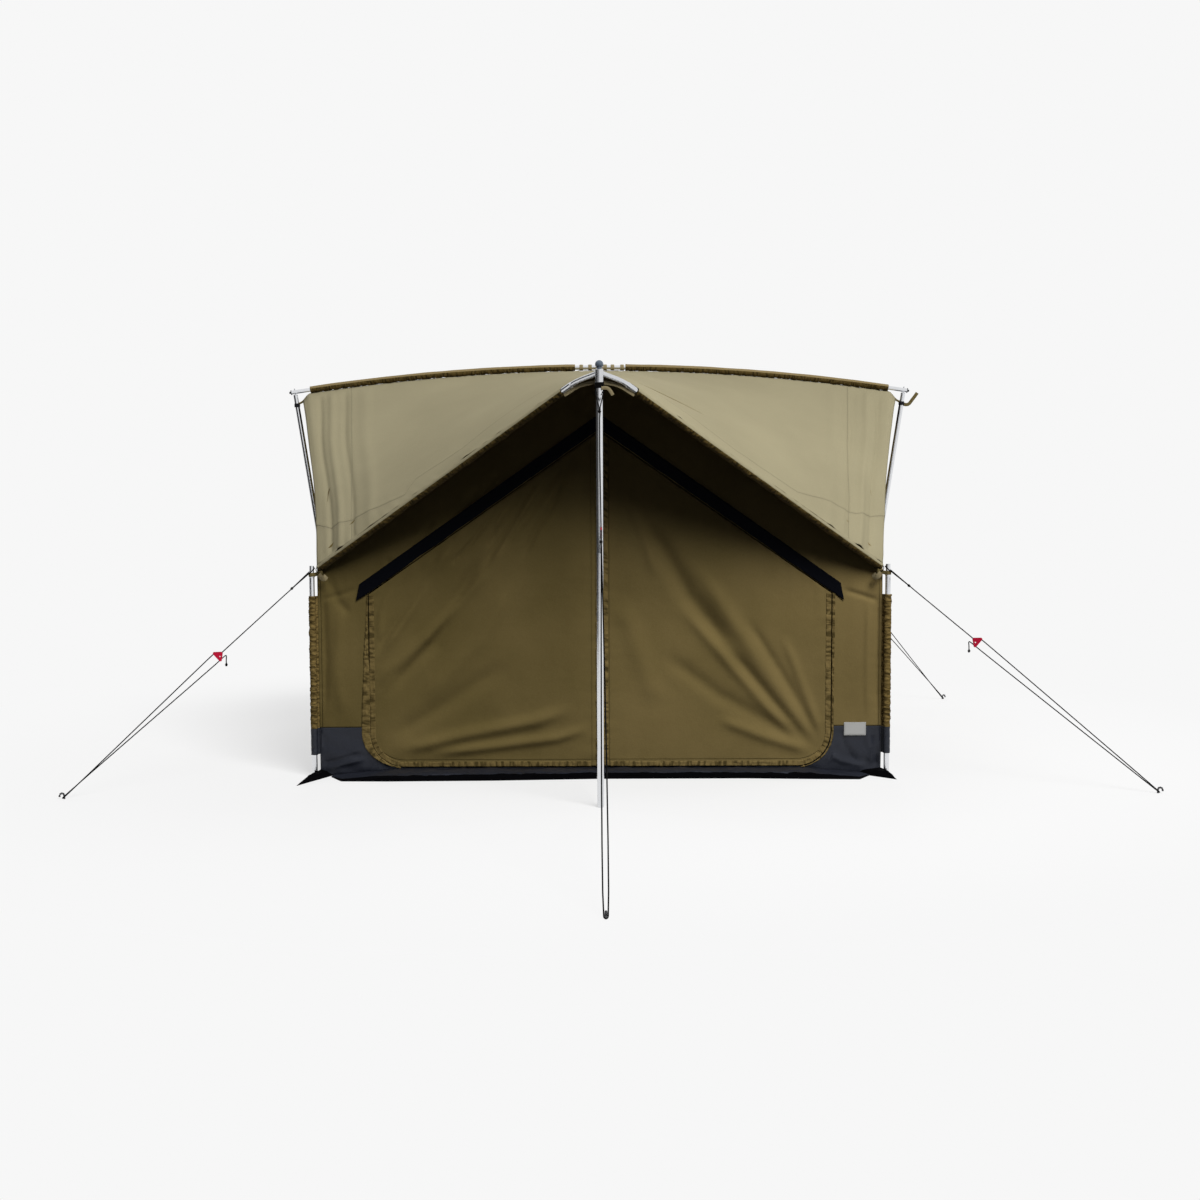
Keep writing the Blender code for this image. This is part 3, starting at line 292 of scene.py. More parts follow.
# painted shade: a darker copy of the canvas for the lower sides of the rafter pockets and pole sleeves
shaded_gather_canvas = canvas("shaded gathered canvas", linear(64, 51, 24), linear(98, 82, 46), crease=0.005,
                       gathers=0.011)
wrinkled_canvas = canvas("wrinkled canvas", linear(96, 79, 42), linear(136, 116, 72), crease=0.004,
                         gathers=0.012, lean=0.7)
inner_canvas = canvas("inner canvas", linear(66, 50, 28), linear(84, 65, 38), crease=0.002, gloss=0.05)
shade_cloth = canvas("dark strip", linear(5, 6, 9), linear(13, 14, 19), gloss=0.06)
flap_cloth = canvas("ground flap", linear(3, 3, 4), linear(9, 9, 11), gloss=0.05, crease=0.006)


# %% [markdown]
# The floor and the band that it turns up into the walls are coated cloth: darker, bluer and smoother
# than canvas, so creases catch the light. The roughness varies where feet and folds have rubbed it.

# %% Coated cloth, webbing and net
def coated_cloth():
    finish = Finish("tub cloth", {"Specular IOR Level": 0.4})
    place = finish.place()
    patches = finish.noise(place, 4, detail=3)
    creases = finish.noise(place, 7, detail=3, roughness=0.55)
    fine = finish.noise(place, 60, detail=3)
    colour = finish.mix(patches, linear(20, 22, 28), linear(37, 40, 49))
    roughness = 0.36 + finish.noise(place, 6, detail=2) * 0.3
    bump = finish.bump(creases + fine * 0.05, 0.010)
    return finish.feed(Base_Color=colour, Roughness=roughness, Normal=bump).material


def webbing(name, dark, light):
    finish = Finish(name, {"Roughness": 0.8, "Specular IOR Level": 0.3})
    cloth = finish.cloth()
    ribs = finish.bands(cloth, 0.0024, "X")
    colour = finish.mix(ribs * 0.6 + finish.noise(finish.place(), 60) * 0.4, dark, light)
    return finish.feed(Base_Color=colour, Normal=finish.bump(ribs, 0.0006)).material


tub_cloth = coated_cloth()
beige_webbing = webbing("beige webbing", linear(120, 108, 80), linear(158, 145, 112))
olive_webbing = webbing("olive webbing", linear(86, 76, 46), linear(116, 103, 66))
black_webbing = webbing("black webbing", linear(14, 14, 16), linear(30, 30, 34))


# %% [markdown]
# The tubes are drawn and anodised aluminium: bright, with a faint grain and small cloudy marks all
# over. The hubs are cast and then polished, so their grain is cloudy.

# %% Metal, plastic and rope finishes
def aluminium(name, colour, roughness, grain):
    finish = Finish(name, {"Metallic": 1.0})
    place = finish.place()
    cloud = finish.noise(place, 35, detail=4)
    streaks = finish.noise(place, 220, detail=2)
    shade = finish.mix(cloud, tuple(c * 0.86 for c in colour), colour)
    rough = roughness + cloud * 0.07 + streaks * 0.05
    bump = finish.bump(streaks * 0.5 + cloud, grain)
    return finish.feed(Base_Color=shade, Roughness=rough, Normal=bump).material


def plastic(name, dark, light, roughness, metallic=0.0):
    finish = Finish(name, {"Metallic": metallic})
    place = finish.place()
    cloud = finish.noise(place, 90, detail=4)
    colour = finish.mix(cloud, dark, light)
    bump = finish.bump(finish.noise(place, 900, detail=2), 0.0001)
    return finish.feed(Base_Color=colour, Roughness=roughness + cloud * 0.12, Normal=bump).material


def cord_finish():
    """Braided cord: strands that cross over each other round it, with a few lighter flecks."""
    finish = Finish("black cord", {"Roughness": 0.8, "Specular IOR Level": 0.1})
    cloth = finish.cloth()
    turned = finish.node("Mapping", {"Vector": cloth, "Rotation": (0, 0, math.radians(45))})
    strands = finish.bands(turned, 0.0022, "X") * finish.bands(turned, 0.0022, "Y")
    flecks = finish.noise(cloth, 900, detail=1) > 0.66
    colour = finish.mix(strands * 0.25 + flecks * 0.5, linear(5, 5, 6), linear(50, 48, 44))
    return finish.feed(Base_Color=colour, Normal=finish.bump(strands, 0.0004)).material


tube_metal = aluminium("tube aluminium", (0.80, 0.81, 0.83), 0.11, 0.0001)
hub_metal = aluminium("hub casting", (0.70, 0.71, 0.73), 0.18, 0.0004)
peg_metal = aluminium("peg steel", (0.10, 0.10, 0.105), 0.4, 0.0004)
cap_plastic = plastic("cap plastic", linear(66, 76, 88), linear(88, 98, 110), 0.32)
black_plastic = plastic("black plastic", linear(14, 14, 16), linear(28, 28, 31), 0.4)
red_anodised = plastic("red anodised", linear(168, 6, 40), linear(205, 16, 62), 0.2, metallic=0.75)
cord_black = cord_finish()

# %% Finishes for the pieces of the frame
FRAME_FINISHES = {
    "centre_pole": tube_metal,
    "corner_pole": tube_metal,
    "side_pole": tube_metal,
    "cross_pole": tube_metal,
    "rafter": tube_metal,
    "ridge_pole": tube_metal,
    "hub_cap": cap_plastic,
    "hub": hub_metal,
    "crown_connector": hub_metal,
    "end_plug": black_plastic,
    "tensioner": red_anodised,
    "peg": peg_metal,
    "zip_slider": black_plastic,
}
for name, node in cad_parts.items():
    for part_of_name, finish in FRAME_FINISHES.items():
        if part_of_name in name:
            node.data.materials.clear()
            node.data.materials.append(finish)
            break
print("materials:", len(bpy.data.materials))


# %% [markdown]
# Every guy rope is one 4 mm cord. It is knotted into a loop that goes round its pole, runs down to a
# red plate, through the plate's bent channel to the peg, round it, and back up to a hole in the
# plate's lower corner, where its end hangs down. The route is a list of places along and beside the
# straight line from pole to peg, with a smooth curve through them.

# %% Lines of the guy ropes
ROPE, ROPE_PLAY, BRAID = 0.004, 0.0008, 0.0028  # the braid's own radius stands proud
EYE_LENGTH, CORNER_EYE_Z = 0.14, 1.084
PEG_RADIUS, PEG_ROPE_Z, TAIL = 0.005, 0.0115, 0.055
HOLE_BACK, HOLE_SPREAD = 0.027, 0.023
BEND_PER_POINT = 0.2  # radians, at most

# where the loop is, the radius of its pole, where the peg is, and the plate's share of the way there
GUYS = {
    "front_left": ((-HALF_WIDTH, -HALF_DEPTH, CORNER_EYE_Z), STUB_RADIUS, (-2.62, -1.82), 0.38),
    "front_right": ((HALF_WIDTH, -HALF_DEPTH, CORNER_EYE_Z), STUB_RADIUS, (2.74, -1.77), 0.33),
    "rear_right": ((HALF_WIDTH, HALF_DEPTH, CORNER_EYE_Z), STUB_RADIUS, (2.44, 1.65), 0.34),
    "centre": ((0, -HUB_Y, 1.955), CENTRE_RADIUS, (0.017, -3.96), 0.32),
}


class Line:
    """The straight line from a loop on a pole down to its peg, and places beside it."""

    def __init__(self, eye, eye_post, peg, share):
        self.eye = Vector(eye)
        self.peg = Vector((*peg, PEG_ROPE_Z))
        self.way = (self.peg - self.eye).normalized()
        self.across = Vector((-self.way.y, self.way.x, 0)).normalized()
        self.down = self.way.cross(self.across)
        if self.down.z > 0:
            self.down = -self.down
        self.level = Vector((self.way.x, self.way.y, 0))
        self.tensioner = self.eye + self.way * (share * (self.peg - self.eye).length)
        self.eye_post = eye_post
        self.knot = self.eye + self.way * EYE_LENGTH

    def turn_round(self, centre, post, way, leave=90):
        """Half a turn of rope round an upright post, on the side that way points to."""
        reach = post + ROPE / 2 + ROPE_PLAY
        long_reach = reach / self.level.length
        turns = [math.radians(leave * i / 2) for i in range(-2, 3)]
        return [
            centre + way * (long_reach * math.cos(t)) + self.across * (reach * math.sin(t))
            for t in turns
        ]

    def at_tensioner(self, along, down):
        return self.tensioner + self.way * along + self.down * down

    def upper(self):
        """Loop, knot and line, as far as the middle of the plate's channel."""
        beside = self.across * (ROPE / 2 + ROPE_PLAY)
        points = [self.knot - beside, self.knot - beside - self.way * 0.03]
        points += self.turn_round(self.eye, self.eye_post, -self.way, leave=100)
        points += [self.knot + beside - self.way * 0.03, self.knot + beside]
        points += [self.knot + self.way * 0.05, self.at_tensioner(-0.03, 0)]
        points += [self.at_tensioner(-0.012, 0), self.at_tensioner(0, -0.001)]
        return points + [self.at_tensioner(HOLE_BACK / 2, -HOLE_SPREAD / 2)]

    def lower(self):
        """From the middle of the channel to the peg, back to the plate and its hanging end."""
        back, spread = HOLE_BACK, HOLE_SPREAD
        places = [(back / 2, -spread / 2), (back, 0.001 - spread)]
        places += [(back + 0.012, -spread), (back + 0.03, -spread)]
        points = [self.at_tensioner(*place_at) for place_at in places]
        points += self.turn_round(self.peg, PEG_RADIUS, self.way)[::-1]
        points += [self.at_tensioner(along, spread) for along in (back + 0.03, back, 0)]
        bend = self.at_tensioner(-0.012, spread) + Vector((0, 0, -0.004))
        return points + [bend, bend + Vector((0, 0, -TAIL / 2)), bend + Vector((0, 0, -TAIL))]


# %% A smooth curve through a route's points
def turning(way, next_way):
    return Vector(way).angle(Vector(next_way))


def smooth_route(points, longest=0.25):
    """The route's own points, with more between them where it bends or a run is long."""
    points = np.array(points, float)
    ring = np.vstack([2 * points[0] - points[1], points, 2 * points[-1] - points[-2]])
    route = []
    for i in range(1, len(ring) - 2):
        a, b, c, d = ring[i - 1 : i + 3]
        gaps = [np.linalg.norm(q - p) ** 0.5 for p, q in ((a, b), (b, c), (c, d))]
        start = (b - a) / gaps[0] - (c - a) / (gaps[0] + gaps[1]) + (c - b) / gaps[1]
        finish = (c - b) / gaps[1] - (d - b) / (gaps[1] + gaps[2]) + (d - c) / gaps[2]
        start, finish = start * gaps[1], finish * gaps[1]
        bend = turning(start, c - b) + turning(c - b, finish)
        steps = max(1, math.ceil(bend / BEND_PER_POINT), math.ceil(gaps[1] ** 2 / longest))
        for t in np.arange(steps) / steps:
            point = (2 * t**3 - 3 * t**2 + 1) * b + (t**3 - 2 * t**2 + t) * start
            route.append(point + (-2 * t**3 + 3 * t**2) * c + (t**3 - t**2) * finish)
    return [Vector(point) for point in [*route, points[-1]]]


# %% [markdown]
# A tube along a route could be a curve with a bevel. These ropes are meshes instead: a ring of points
# is extruded from each place of the route to the next, turned as little as possible on the way, and
# given coordinates along and round it.

# %% Extrude a round section along a route
CORD_SIDES = 10


def extrude_ring(bm, ring, targets):
    """Extrudes a ring's edges once and moves the new ring to its places."""
    made = bmesh.ops.extrude_edge_only(bm, edges=ring_edges(ring))["geom"]
    new = [item for item in made if isinstance(item, bmesh.types.BMVert)]
    pairs = {}
    for edge in (e for v in new for e in v.link_edges):
        first, second = edge.verts
        if first in ring and second in new:
            pairs[first] = second
        elif second in ring and first in new:
            pairs[second] = first
    following = [pairs[vert] for vert in ring]
    for vert, place_at in zip(following, targets):
        vert.co = place_at
    return following


def ring_edges(ring):
    count = len(ring)
    pairs = [(ring[i], ring[(i + 1) % count]) for i in range(count)]
    return [next(e for e in a.link_edges if e.other_vert(a) == b) for a, b in pairs]


def sections(route, radius, count, flat=1.0):
    """Rings of places round a route, turned as little as possible from one to the next."""
    last = len(route) - 1
    side = None
    rings = []
    for i, point in enumerate(route):
        way = (route[min(i + 1, last)] - route[max(i - 1, 0)]).normalized()
        if side is None:
            side = way.cross(Vector((0, 0, 1)) if abs(way.z) < 0.9 else Vector((0, 1, 0)))
        side = (side - way * side.dot(way)).normalized()
        up = way.cross(side)
        turns = [2 * math.pi * k / count for k in range(count)]
        rings.append([point + radius * (math.cos(t) * side + flat * math.sin(t) * up) for t in turns])
    return rings


def make_piece(name, bm, finishes, body="tent", sharp=40):
    """Turns a bmesh into an object with its finishes, riding on a body."""
    mesh = bpy.data.meshes.new(name)
    bm.to_mesh(mesh)
    bm.free()
    mesh.shade_smooth()
    mesh.set_sharp_from_angle(angle=math.radians(sharp))
    for finish in finishes:
        mesh.materials.append(finish)
    piece = bpy.data.objects.new(name, mesh)
    bpy.context.collection.objects.link(piece)
    if body:
        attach(piece, body)
    return piece


def stand_in(piece, node):
    """Lets a piece stand for a node of the frame, by hiding the node."""
    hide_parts(node)


def strand(name, route, radius, finishes, body="tent", count=CORD_SIDES, flat=1.0):
    """A solid bar of cord or webbing along a route."""
    bm = bmesh.new()
    layer = bm.loops.layers.uv.new("Cloth")
    rings = sections(route, radius, count, flat)
    ring = bmesh.ops.create_circle(bm, cap_ends=False, segments=count, radius=1)["verts"]
    for vert, place_at in zip(ring, rings[0]):
        vert.co = place_at
    runs = np.cumsum([0] + [(b - a).length for a, b in zip(route, route[1:])])
    rows = [ring]
    for targets in rings[1:]:
        rows.append(extrude_ring(bm, rows[-1], targets))
    where = {}
    for run, row in zip(runs, rows):
        for k, vert in enumerate(row):
            where[vert] = (run, k * 2 * math.pi * radius / count)
    for face in bm.faces:
        for loop in face.loops:
            loop[layer].uv = where[loop.vert]
    bmesh.ops.contextual_create(bm, geom=ring_edges(rows[0]))
    bmesh.ops.contextual_create(bm, geom=ring_edges(rows[-1]))
    bmesh.ops.recalc_face_normals(bm, faces=bm.faces)
    return make_piece(name, bm, finishes, body)


# %% [markdown]
# The knots are overhand knots: the cord goes once round itself. A short fat coil of the same cord,
# wound round the standing line, looks like one from a step away and stays cheap to draw.

# %% Knots
KNOT_TURNS, KNOT_SPREAD, KNOT_REACH = 3.2, 0.0024, 0.0060


def knot(name, centre, way, body):
    """A few close turns of cord round a line at a place."""
    way = Vector(way).normalized()
    side = way.orthogonal().normalized()
    up = way.cross(side)
    steps = int(KNOT_TURNS * 12)
    route = []
    for i in range(steps + 1):
        t = 2 * math.pi * KNOT_TURNS * i / steps
        lift = (i / steps - 0.5) * KNOT_TURNS * 2 * KNOT_SPREAD
        wide = KNOT_REACH * (0.75 + 0.25 * math.cos(2 * math.pi * (i / steps - 0.5)))
        route.append(Vector(centre) + way * lift + wide * (math.cos(t) * side + math.sin(t) * up))
    return strand(name, route, ROPE / 2, [cord_black], body, count=8)


# %% Ropes
for where, (eye, post, peg, share) in GUYS.items():
    line = Line(eye, post, peg, share)
    plate_body = f"{where}_tensioner"
    upper, lower = smooth_route(line.upper()), smooth_route(line.lower())
    line_piece = strand(f"guy_line_{where}", upper, BRAID, [cord_black], body=None)
    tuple(line.knot)
    line.at_tensioner(-0.01, 0)
    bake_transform(line_piece)
    bight_piece = strand(f"guy_bight_{where}", lower, BRAID, [cord_black], body=None)
    bight_start = line.at_tensioner(HOLE_BACK + 0.01, 0)
    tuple(line.peg)
    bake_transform(bight_piece)
    eye_knot = knot(f"eye_knot_{where}", line.knot, line.way, "tent")
    end_knot = knot(f"end_knot_{where}", lower[-1] + Vector((0, 0, 0.008)), (0, 0, 1), plate_body)
    for piece in (line_piece, bight_piece):
        stand_in(piece, f"guy_rope_{where}")


# %% [markdown]
# The floor is a wide pale plane that keeps the tent's shadow. What the camera sees of it is partly a
# glow of the background's own white, so that it is neither grey nor burnt out, and more so with the
# distance from the tent, until no horizon is left. The light that it throws back up is kept low, as
# from a dull floor, so that the shade under the roof's beak stays deep. The world has the same white
# for the camera and for reflections, and gives the tent hardly any light.

# %% Floor
FLOOR_SIZE, BACKGROUND = 60, 0.93
SHADE_SHARE, FLOOR_LEVEL = 0.35, 1.10  # how much of the floor's look is light, and the light there
FLOOR_RETURN = 0.03  # how much light the floor throws back up
SHADE_REACH = (2.2, 4.4)  # the shadow fades out between these distances from the tent's middle
bm = bmesh.new()
bmesh.ops.create_grid(bm, x_segments=4, y_segments=4, size=FLOOR_SIZE / 2)
floor_mesh = bpy.data.meshes.new("floor")
bm.to_mesh(floor_mesh)
bm.free()
floor = bpy.data.objects.new("floor", floor_mesh)
bpy.context.collection.objects.link(floor)

floor_finish = Finish("studio floor", {"Roughness": 0.9, "Specular IOR Level": 0.0})
rays = ["Is Camera Ray", "Is Glossy Ray", "Is Transmission Ray"]
seen = sum((floor_finish.node("LightPath", {}, output=ray) for ray in rays[1:]),
           floor_finish.node("LightPath", {}, output=rays[0]))
seen = floor_finish.node("Math", {0: seen, 1: 1.0}, operation="MINIMUM")
shown, returned = (BACKGROUND / FLOOR_LEVEL,) * 3, (FLOOR_RETURN,) * 3
floor_finish.feed(Base_Color=floor_finish.mix(seen, returned, shown))
floor_mesh.materials.append(floor_finish.material)

tree = floor_finish.tree
span = floor_finish.node("VectorMath", {0: floor_finish.place()}, output=1, operation="LENGTH")
far = floor_finish.between(span, *SHADE_REACH)
glow = floor_finish.node("Emission", {"Color": (1, 1, 1), "Strength": BACKGROUND})
glow_share = seen * (1 - (1 - far) * SHADE_SHARE)
blend_in = floor_finish.node("MixShader", {0: glow_share, 2: glow})
tree.links.new(floor_finish.shader.outputs[0], blend_in.socket.node.inputs[1])
tree.links.new(blend_in.socket, tree.nodes["Material Output"].inputs["Surface"])
print("floor", FLOOR_SIZE, "m wide, its shadow fades out from", *SHADE_REACH, "m")

# %% World
DOME = 0.015  # the faint light that comes from all sides
world = bpy.data.worlds.new("studio")
bpy.context.scene.world = world
world.use_nodes = True
nodes, links = world.node_tree.nodes, world.node_tree.links
path = nodes.new("ShaderNodeLightPath")
first = nodes.new("ShaderNodeMath")
links.new(path.outputs["Is Camera Ray"], first.inputs[0])
links.new(path.outputs["Is Glossy Ray"], first.inputs[1])
second = nodes.new("ShaderNodeMath")
second.use_clamp = True
links.new(first.outputs[0], second.inputs[0])
links.new(path.outputs["Is Transmission Ray"], second.inputs[1])
strength = nodes.new("ShaderNodeMapRange")
links.new(second.outputs[0], strength.inputs["Value"])
strength.inputs["To Min"].default_value = DOME
strength.inputs["To Max"].default_value = BACKGROUND
links.new(strength.outputs[0], nodes["Background"].inputs["Strength"])
nodes["Background"].inputs["Color"].default_value = (1, 1, 1, 1)
print("background", BACKGROUND, "and light from all sides", DOME)


# %% [markdown]
# The key light is a wide softbox far off and high in front. It stands high enough for the beak to
# shade the top of the wall, and to the right, where that shade then reaches lower. It is large, so
# the shade ends softly. A weak one overhead evens out the roof. The ones at the sides and behind
# stand back from the front wall, so they light the other walls only. Grey cards are seen by
# reflections alone: those on the left and behind the camera draw the dark lines down each tube, and
# those in front of the hub and the roof's tips darken the undersides of the tubes there.

# %% Lamps
def softbox(name, place_at, aim, width, height, power):
    data = bpy.data.lights.new(name, "AREA")
    data.shape = "RECTANGLE"
    data.size, data.size_y, data.energy = width, height, power
    lamp = bpy.data.objects.new(name, data)
    lamp.matrix_world = Matrix.Translation(place_at) @ (
        (Vector(aim) - Vector(place_at)).to_track_quat("-Z", "Y").to_matrix().to_4x4()
    )
    lamp.visible_camera = lamp.visible_glossy = False
    bpy.context.collection.objects.link(lamp)


softbox("key softbox", (4.5, -10.5, 11.5), (0, -1.0, 1.0), 7.0, 7.5, 2800)
softbox("overhead softbox", (-2.5, -0.5, 7.2), (0, 0, 1.5), 5.0, 5.0, 45)
softbox("rear softbox", (0, 9.0, 5.0), (0, 1.2, 1.0), 6.0, 3.0, 400)
for side in SIDES.values():
    softbox(f"side softbox {side}", (8.0 * side, 1.6, 2.2), (1.4 * side, 0, 1.0), 2.5, 2.5, 190)
print("softboxes:", len(bpy.data.lights))


# %% Cards for the tubes to reflect
def card(name, middle, width, height, level, turns=""):
    """A grey card that only reflections see, given a quarter turn about each axis in turns."""
    bm = bmesh.new()
    bmesh.ops.create_grid(bm, x_segments=1, y_segments=1, size=0.5)
    bmesh.ops.scale(bm, vec=(width, height, 1), verts=bm.verts)
    for axis in turns:
        bmesh.ops.rotate(bm, matrix=Matrix.Rotation(math.pi / 2, 3, axis), verts=bm.verts)
    bmesh.ops.translate(bm, vec=middle, verts=bm.verts)
    mesh = bpy.data.meshes.new(name)
    bm.to_mesh(mesh)
    bm.free()
    made = bpy.data.objects.new(name, mesh)
    bpy.context.collection.objects.link(made)
    even = {"Base Color": (0, 0, 0, 1), "Specular IOR Level": 0.0, "Emission Strength": level,
            "Emission Color": (1, 1, 1, 1)}
    mesh.materials.append(Finish(name, even).material)
    made.visible_camera = made.visible_diffuse = made.visible_shadow = False
    made.visible_transmission = False


card("left_card", (-7.0, -6.0, 3.0), 16.0, 8.0, 0.05, turns="XZ")
card("front_card", (-3.95, -13.5, 3.0), 6.1, 8.0, 0.36, turns="X")
card("arm_card", (0.0, -2.95, 1.2), 1.4, 1.7, 0.04)
for side_name, side in SIDES.items():
    card(f"tip_card_{side_name}", (2.05 * side, -0.65, 1.2), 1.1, 1.7, 0.04)

view = bpy.context.scene.view_settings
view.view_transform = "Standard"


# %% [markdown]
# All the canvas is made in one way. A flat grid is the cut cloth. Each of its points goes to its
# place on a smooth surface, and is then pushed off that surface by the folds. The grid's own
# coordinates, in metres, stay with the sheet for the weave, and more sets hold the distance from
# its seams. Solidify gives the cloth its thickness. The folds are sums of waves of noise: the numbers
# inside a wave say how close together its swings are, and the one before it how high they are, in
# metres. The last number inside only makes one wave differ from the next.

# %% Sheets
def laid_grid(columns, rows, size, surface, relief=None, outward=(0, -1, 0), seams=()):
    """A grid of cloth on surface(u, v), with relief(u, v, place) pushed out and seams drawn."""
    bm = bmesh.new()
    names = ("Cloth", *SEAM_MAPS[: len(seams)])
    for name in names:
        bm.loops.layers.uv.new(name)
    layers = [bm.loops.layers.uv[name] for name in names]
    bmesh.ops.create_grid(bm, x_segments=columns, y_segments=rows, size=0.5)
    spots = {vert: (vert.co.x + 0.5, vert.co.y + 0.5) for vert in bm.verts}
    for vert, (u, v) in spots.items():
        vert.co = surface(u, v)
        marks = [(u * size[0], v * size[1])] + [seam(u, v, vert.co) for seam in seams]
        for loop in vert.link_loops:
            for layer, mark in zip(layers, marks):
                loop[layer].uv = mark
    bm.normal_update()
    middle = sum((face.normal * face.calc_area() for face in bm.faces), Vector())
    if middle.dot(Vector(outward)) < 0:
        bmesh.ops.reverse_faces(bm, faces=bm.faces)
        bm.normal_update()
    if relief:
        moves = [(vert, vert.normal * relief(*spots[vert], vert.co)) for vert in bm.verts]
        for vert, move in moves:
            vert.co += move
    return bm


def thicken(piece, thickness=CANVAS, offset=0.0, inside=0):
    """Solidify, with another finish on the inner side if inside is 1."""
    made = piece.modifiers.new("thickness", "SOLIDIFY")
    made.thickness, made.offset = thickness, offset
    made.material_offset = inside
    made.use_even_offset = True
    return piece


def area_of(bm):
    return sum(face.calc_area() for face in bm.faces)


def close_round(bm):
    """Joins the two ends of a sheet that goes right round."""
    bmesh.ops.remove_doubles(bm, verts=bm.verts, dist=1e-5)
    bmesh.ops.recalc_face_normals(bm, faces=bm.faces)


def across_of(bm):
    """Each face of a sheet with how far across the sheet its middle is, in metres."""
    cloth = bm.loops.layers.uv["Cloth"]
    return [(face, sum(loop[cloth].uv.y for loop in face.loops) / 4) for face in bm.faces]


def wave(x, y=0.0, z=0.0):
    """Smooth noise from about -1 to 1, the same at each run, that swings about once in two units."""
    return noise.noise(Vector((x, y, z)))


def ease(value):
    """0 below 0, 1 above 1 and a soft step between."""
    value = max(0.0, min(1.0, value))
    return value * value * (3 - 2 * value)


def hump(distance, width):
    """1 at no distance, dying out over about twice the width."""
    return math.exp(-((distance / width) ** 2))


# %% Folds along lines
FOLD_TAPER = 0.22  # the share of its length over which each end of a fold dies out


def fold(x, z, line, width, height):
    """A soft ridge, or a valley if height is below 0, along a line of (x, z) places."""
    runs = [math.dist(a, b) for a, b in zip(line, line[1:])]
    whole, done, nearest, share = sum(runs), 0.0, 1e9, 0.0
    for (ax, az), (bx, bz), run in zip(line, line[1:], runs):
        part = ((x - ax) * (bx - ax) + (z - az) * (bz - az)) / run**2
        part = max(0.0, min(1.0, part))
        off = math.hypot(x - ax - part * (bx - ax), z - az - part * (bz - az))
        if off < nearest:
            nearest, share = off, (done + part * run) / whole
        done += run
    if nearest > 3 * width:
        return 0.0
    ends = ease(share / FOLD_TAPER) * ease((1 - share) / FOLD_TAPER)
    return height * hump(nearest, width) * ends


# %% [markdown]
# The roof is four panels. Each runs from a rafter, where its lower edge is a pocket rolled round the
# tube, up to the cross pole, and from the ridge out to a free edge that is cut in a little. A point
# of it lies on the straight line between a place on the rafter and one under the bowed cross pole.

# %% Surface of the roof
RAFTER_WAY = (RAFTER_END - ARM_END).normalized()
CROSS_CURVE = (TIP_X**2 + CROSS_RISE**2) / (2 * CROSS_RISE)
ROOF_BACK = Vector((0, -1, 0)) - RAFTER_WAY * Vector((0, -1, 0)).dot(RAFTER_WAY)
ROOF_BACK = (ROOF_BACK + Vector((0, 0, 0.25))).normalized()
ROOF_BACK = (ROOF_BACK - RAFTER_WAY * ROOF_BACK.dot(RAFTER_WAY)).normalized()
ROOF_NORMAL = RAFTER_WAY.cross(ROOF_BACK)
if ROOF_NORMAL.z < 0:
    ROOF_NORMAL = -ROOF_NORMAL


def cross_z(x):
    """Height of the cross pole's axis."""
    return CROWN_Z - CROSS_CURVE + math.sqrt(CROSS_CURVE**2 - x * x)


def ridge_z(y):
    return CROWN_Z - (CROWN_Z - HUB_Z) * abs(y) / HUB_Y


def rafter_at(x):
    """The rafter's axis, back right taken for all four."""
    return ARM_END + RAFTER_WAY * ((x - ARM_END.x) / RAFTER_WAY.x)


def rafter_top(x):
    """The cloth over the rafter's line, which rises to the ridge near the hub."""
    point = rafter_at(x) + ROOF_NORMAL * HEM_RADIUS
    reach = 0.2
    if x < reach:
        over = rafter_at(0) + ROOF_NORMAL * HEM_RADIUS
        wanted = Vector((0, over.y, HUB_Z - ROOF_DROP))
        point += (wanted - over) * (1 - x / reach) ** 2
    return point


def roof_point(u, v):
    """The roof over the back right quarter: u from the ridge out, v from the rafter in."""
    low = rafter_top(ROOF_CORNER_X * u)
    x = ROOF_TIP_X * u
    high = Vector((x, 0, cross_z(x) - ROOF_DROP))
    high.z -= TIP_DIP * max(0.0, (u - 0.98) / 0.02)
    scoop = EDGE_SCOOP * u**24 * 4 * v * (1 - v)
    return low.lerp(high, v) + Vector((-0.5, 0, 0.87)) * scoop


def mirrored(point, side, end):
    return Vector((point[0] * side, point[1] * end, point[2]))


# %% Seams and folds of the roof
PANEL_LENGTH, PANEL_NARROWS = 1.97, 0.75  # from rafter to cross pole at the ridge, less at the edge
FRONT_CUT = 0.035  # the cloth starts this share of the way back beside the hub's arms
# each crease as places out from the ridge, and how far up it runs there, as shares of the panel
CREASES = {
    "left": ((0.2, 0.45, 0.62, 0.66, 0.94, 1.0), (0.27, 0.12, 0.105, 0.045, 0.144, 0.2)),
    "right": ((0.1, 0.25, 0.45, 0.67, 0.76, 0.88, 1.0), (0.234, 0.164, 0.074, 0.07, 0.131, 0.16, 0.233)),
}
# the seam between two widths of canvas, as places up from the rafter, and how far out it is there
JOIN = ((0.0, 0.23, 0.54, 0.94, 1.0), (0.866, 0.862, 0.846, 0.837, 0.836))
# folds along the free edge: how far out, the width and the height
EDGE_FOLDS = ((0.905, 0.022, 0.012), (0.945, 0.016, -0.010), (0.86, 0.018, -0.008),
              (0.79, 0.035, 0.006))


def panel_length(u):
    return PANEL_LENGTH - PANEL_NARROWS * u


def crease_seam(side_name):
    """The crease that runs along above the rafter, as distance and strength."""

    def seam(u, v, place):
        distance = (v - float(np.interp(u, *CREASES[side_name]))) * panel_length(u)
        return distance, 0.55 * ease((u - 0.1) / 0.12)

    return seam


def join_seam(u, v, place):
    """The seam that joins the panel's two widths of canvas."""
    width = (1 - v) * ROOF_CORNER_X + v * ROOF_TIP_X
    return (u - float(np.interp(v, *JOIN))) * width, 0.5


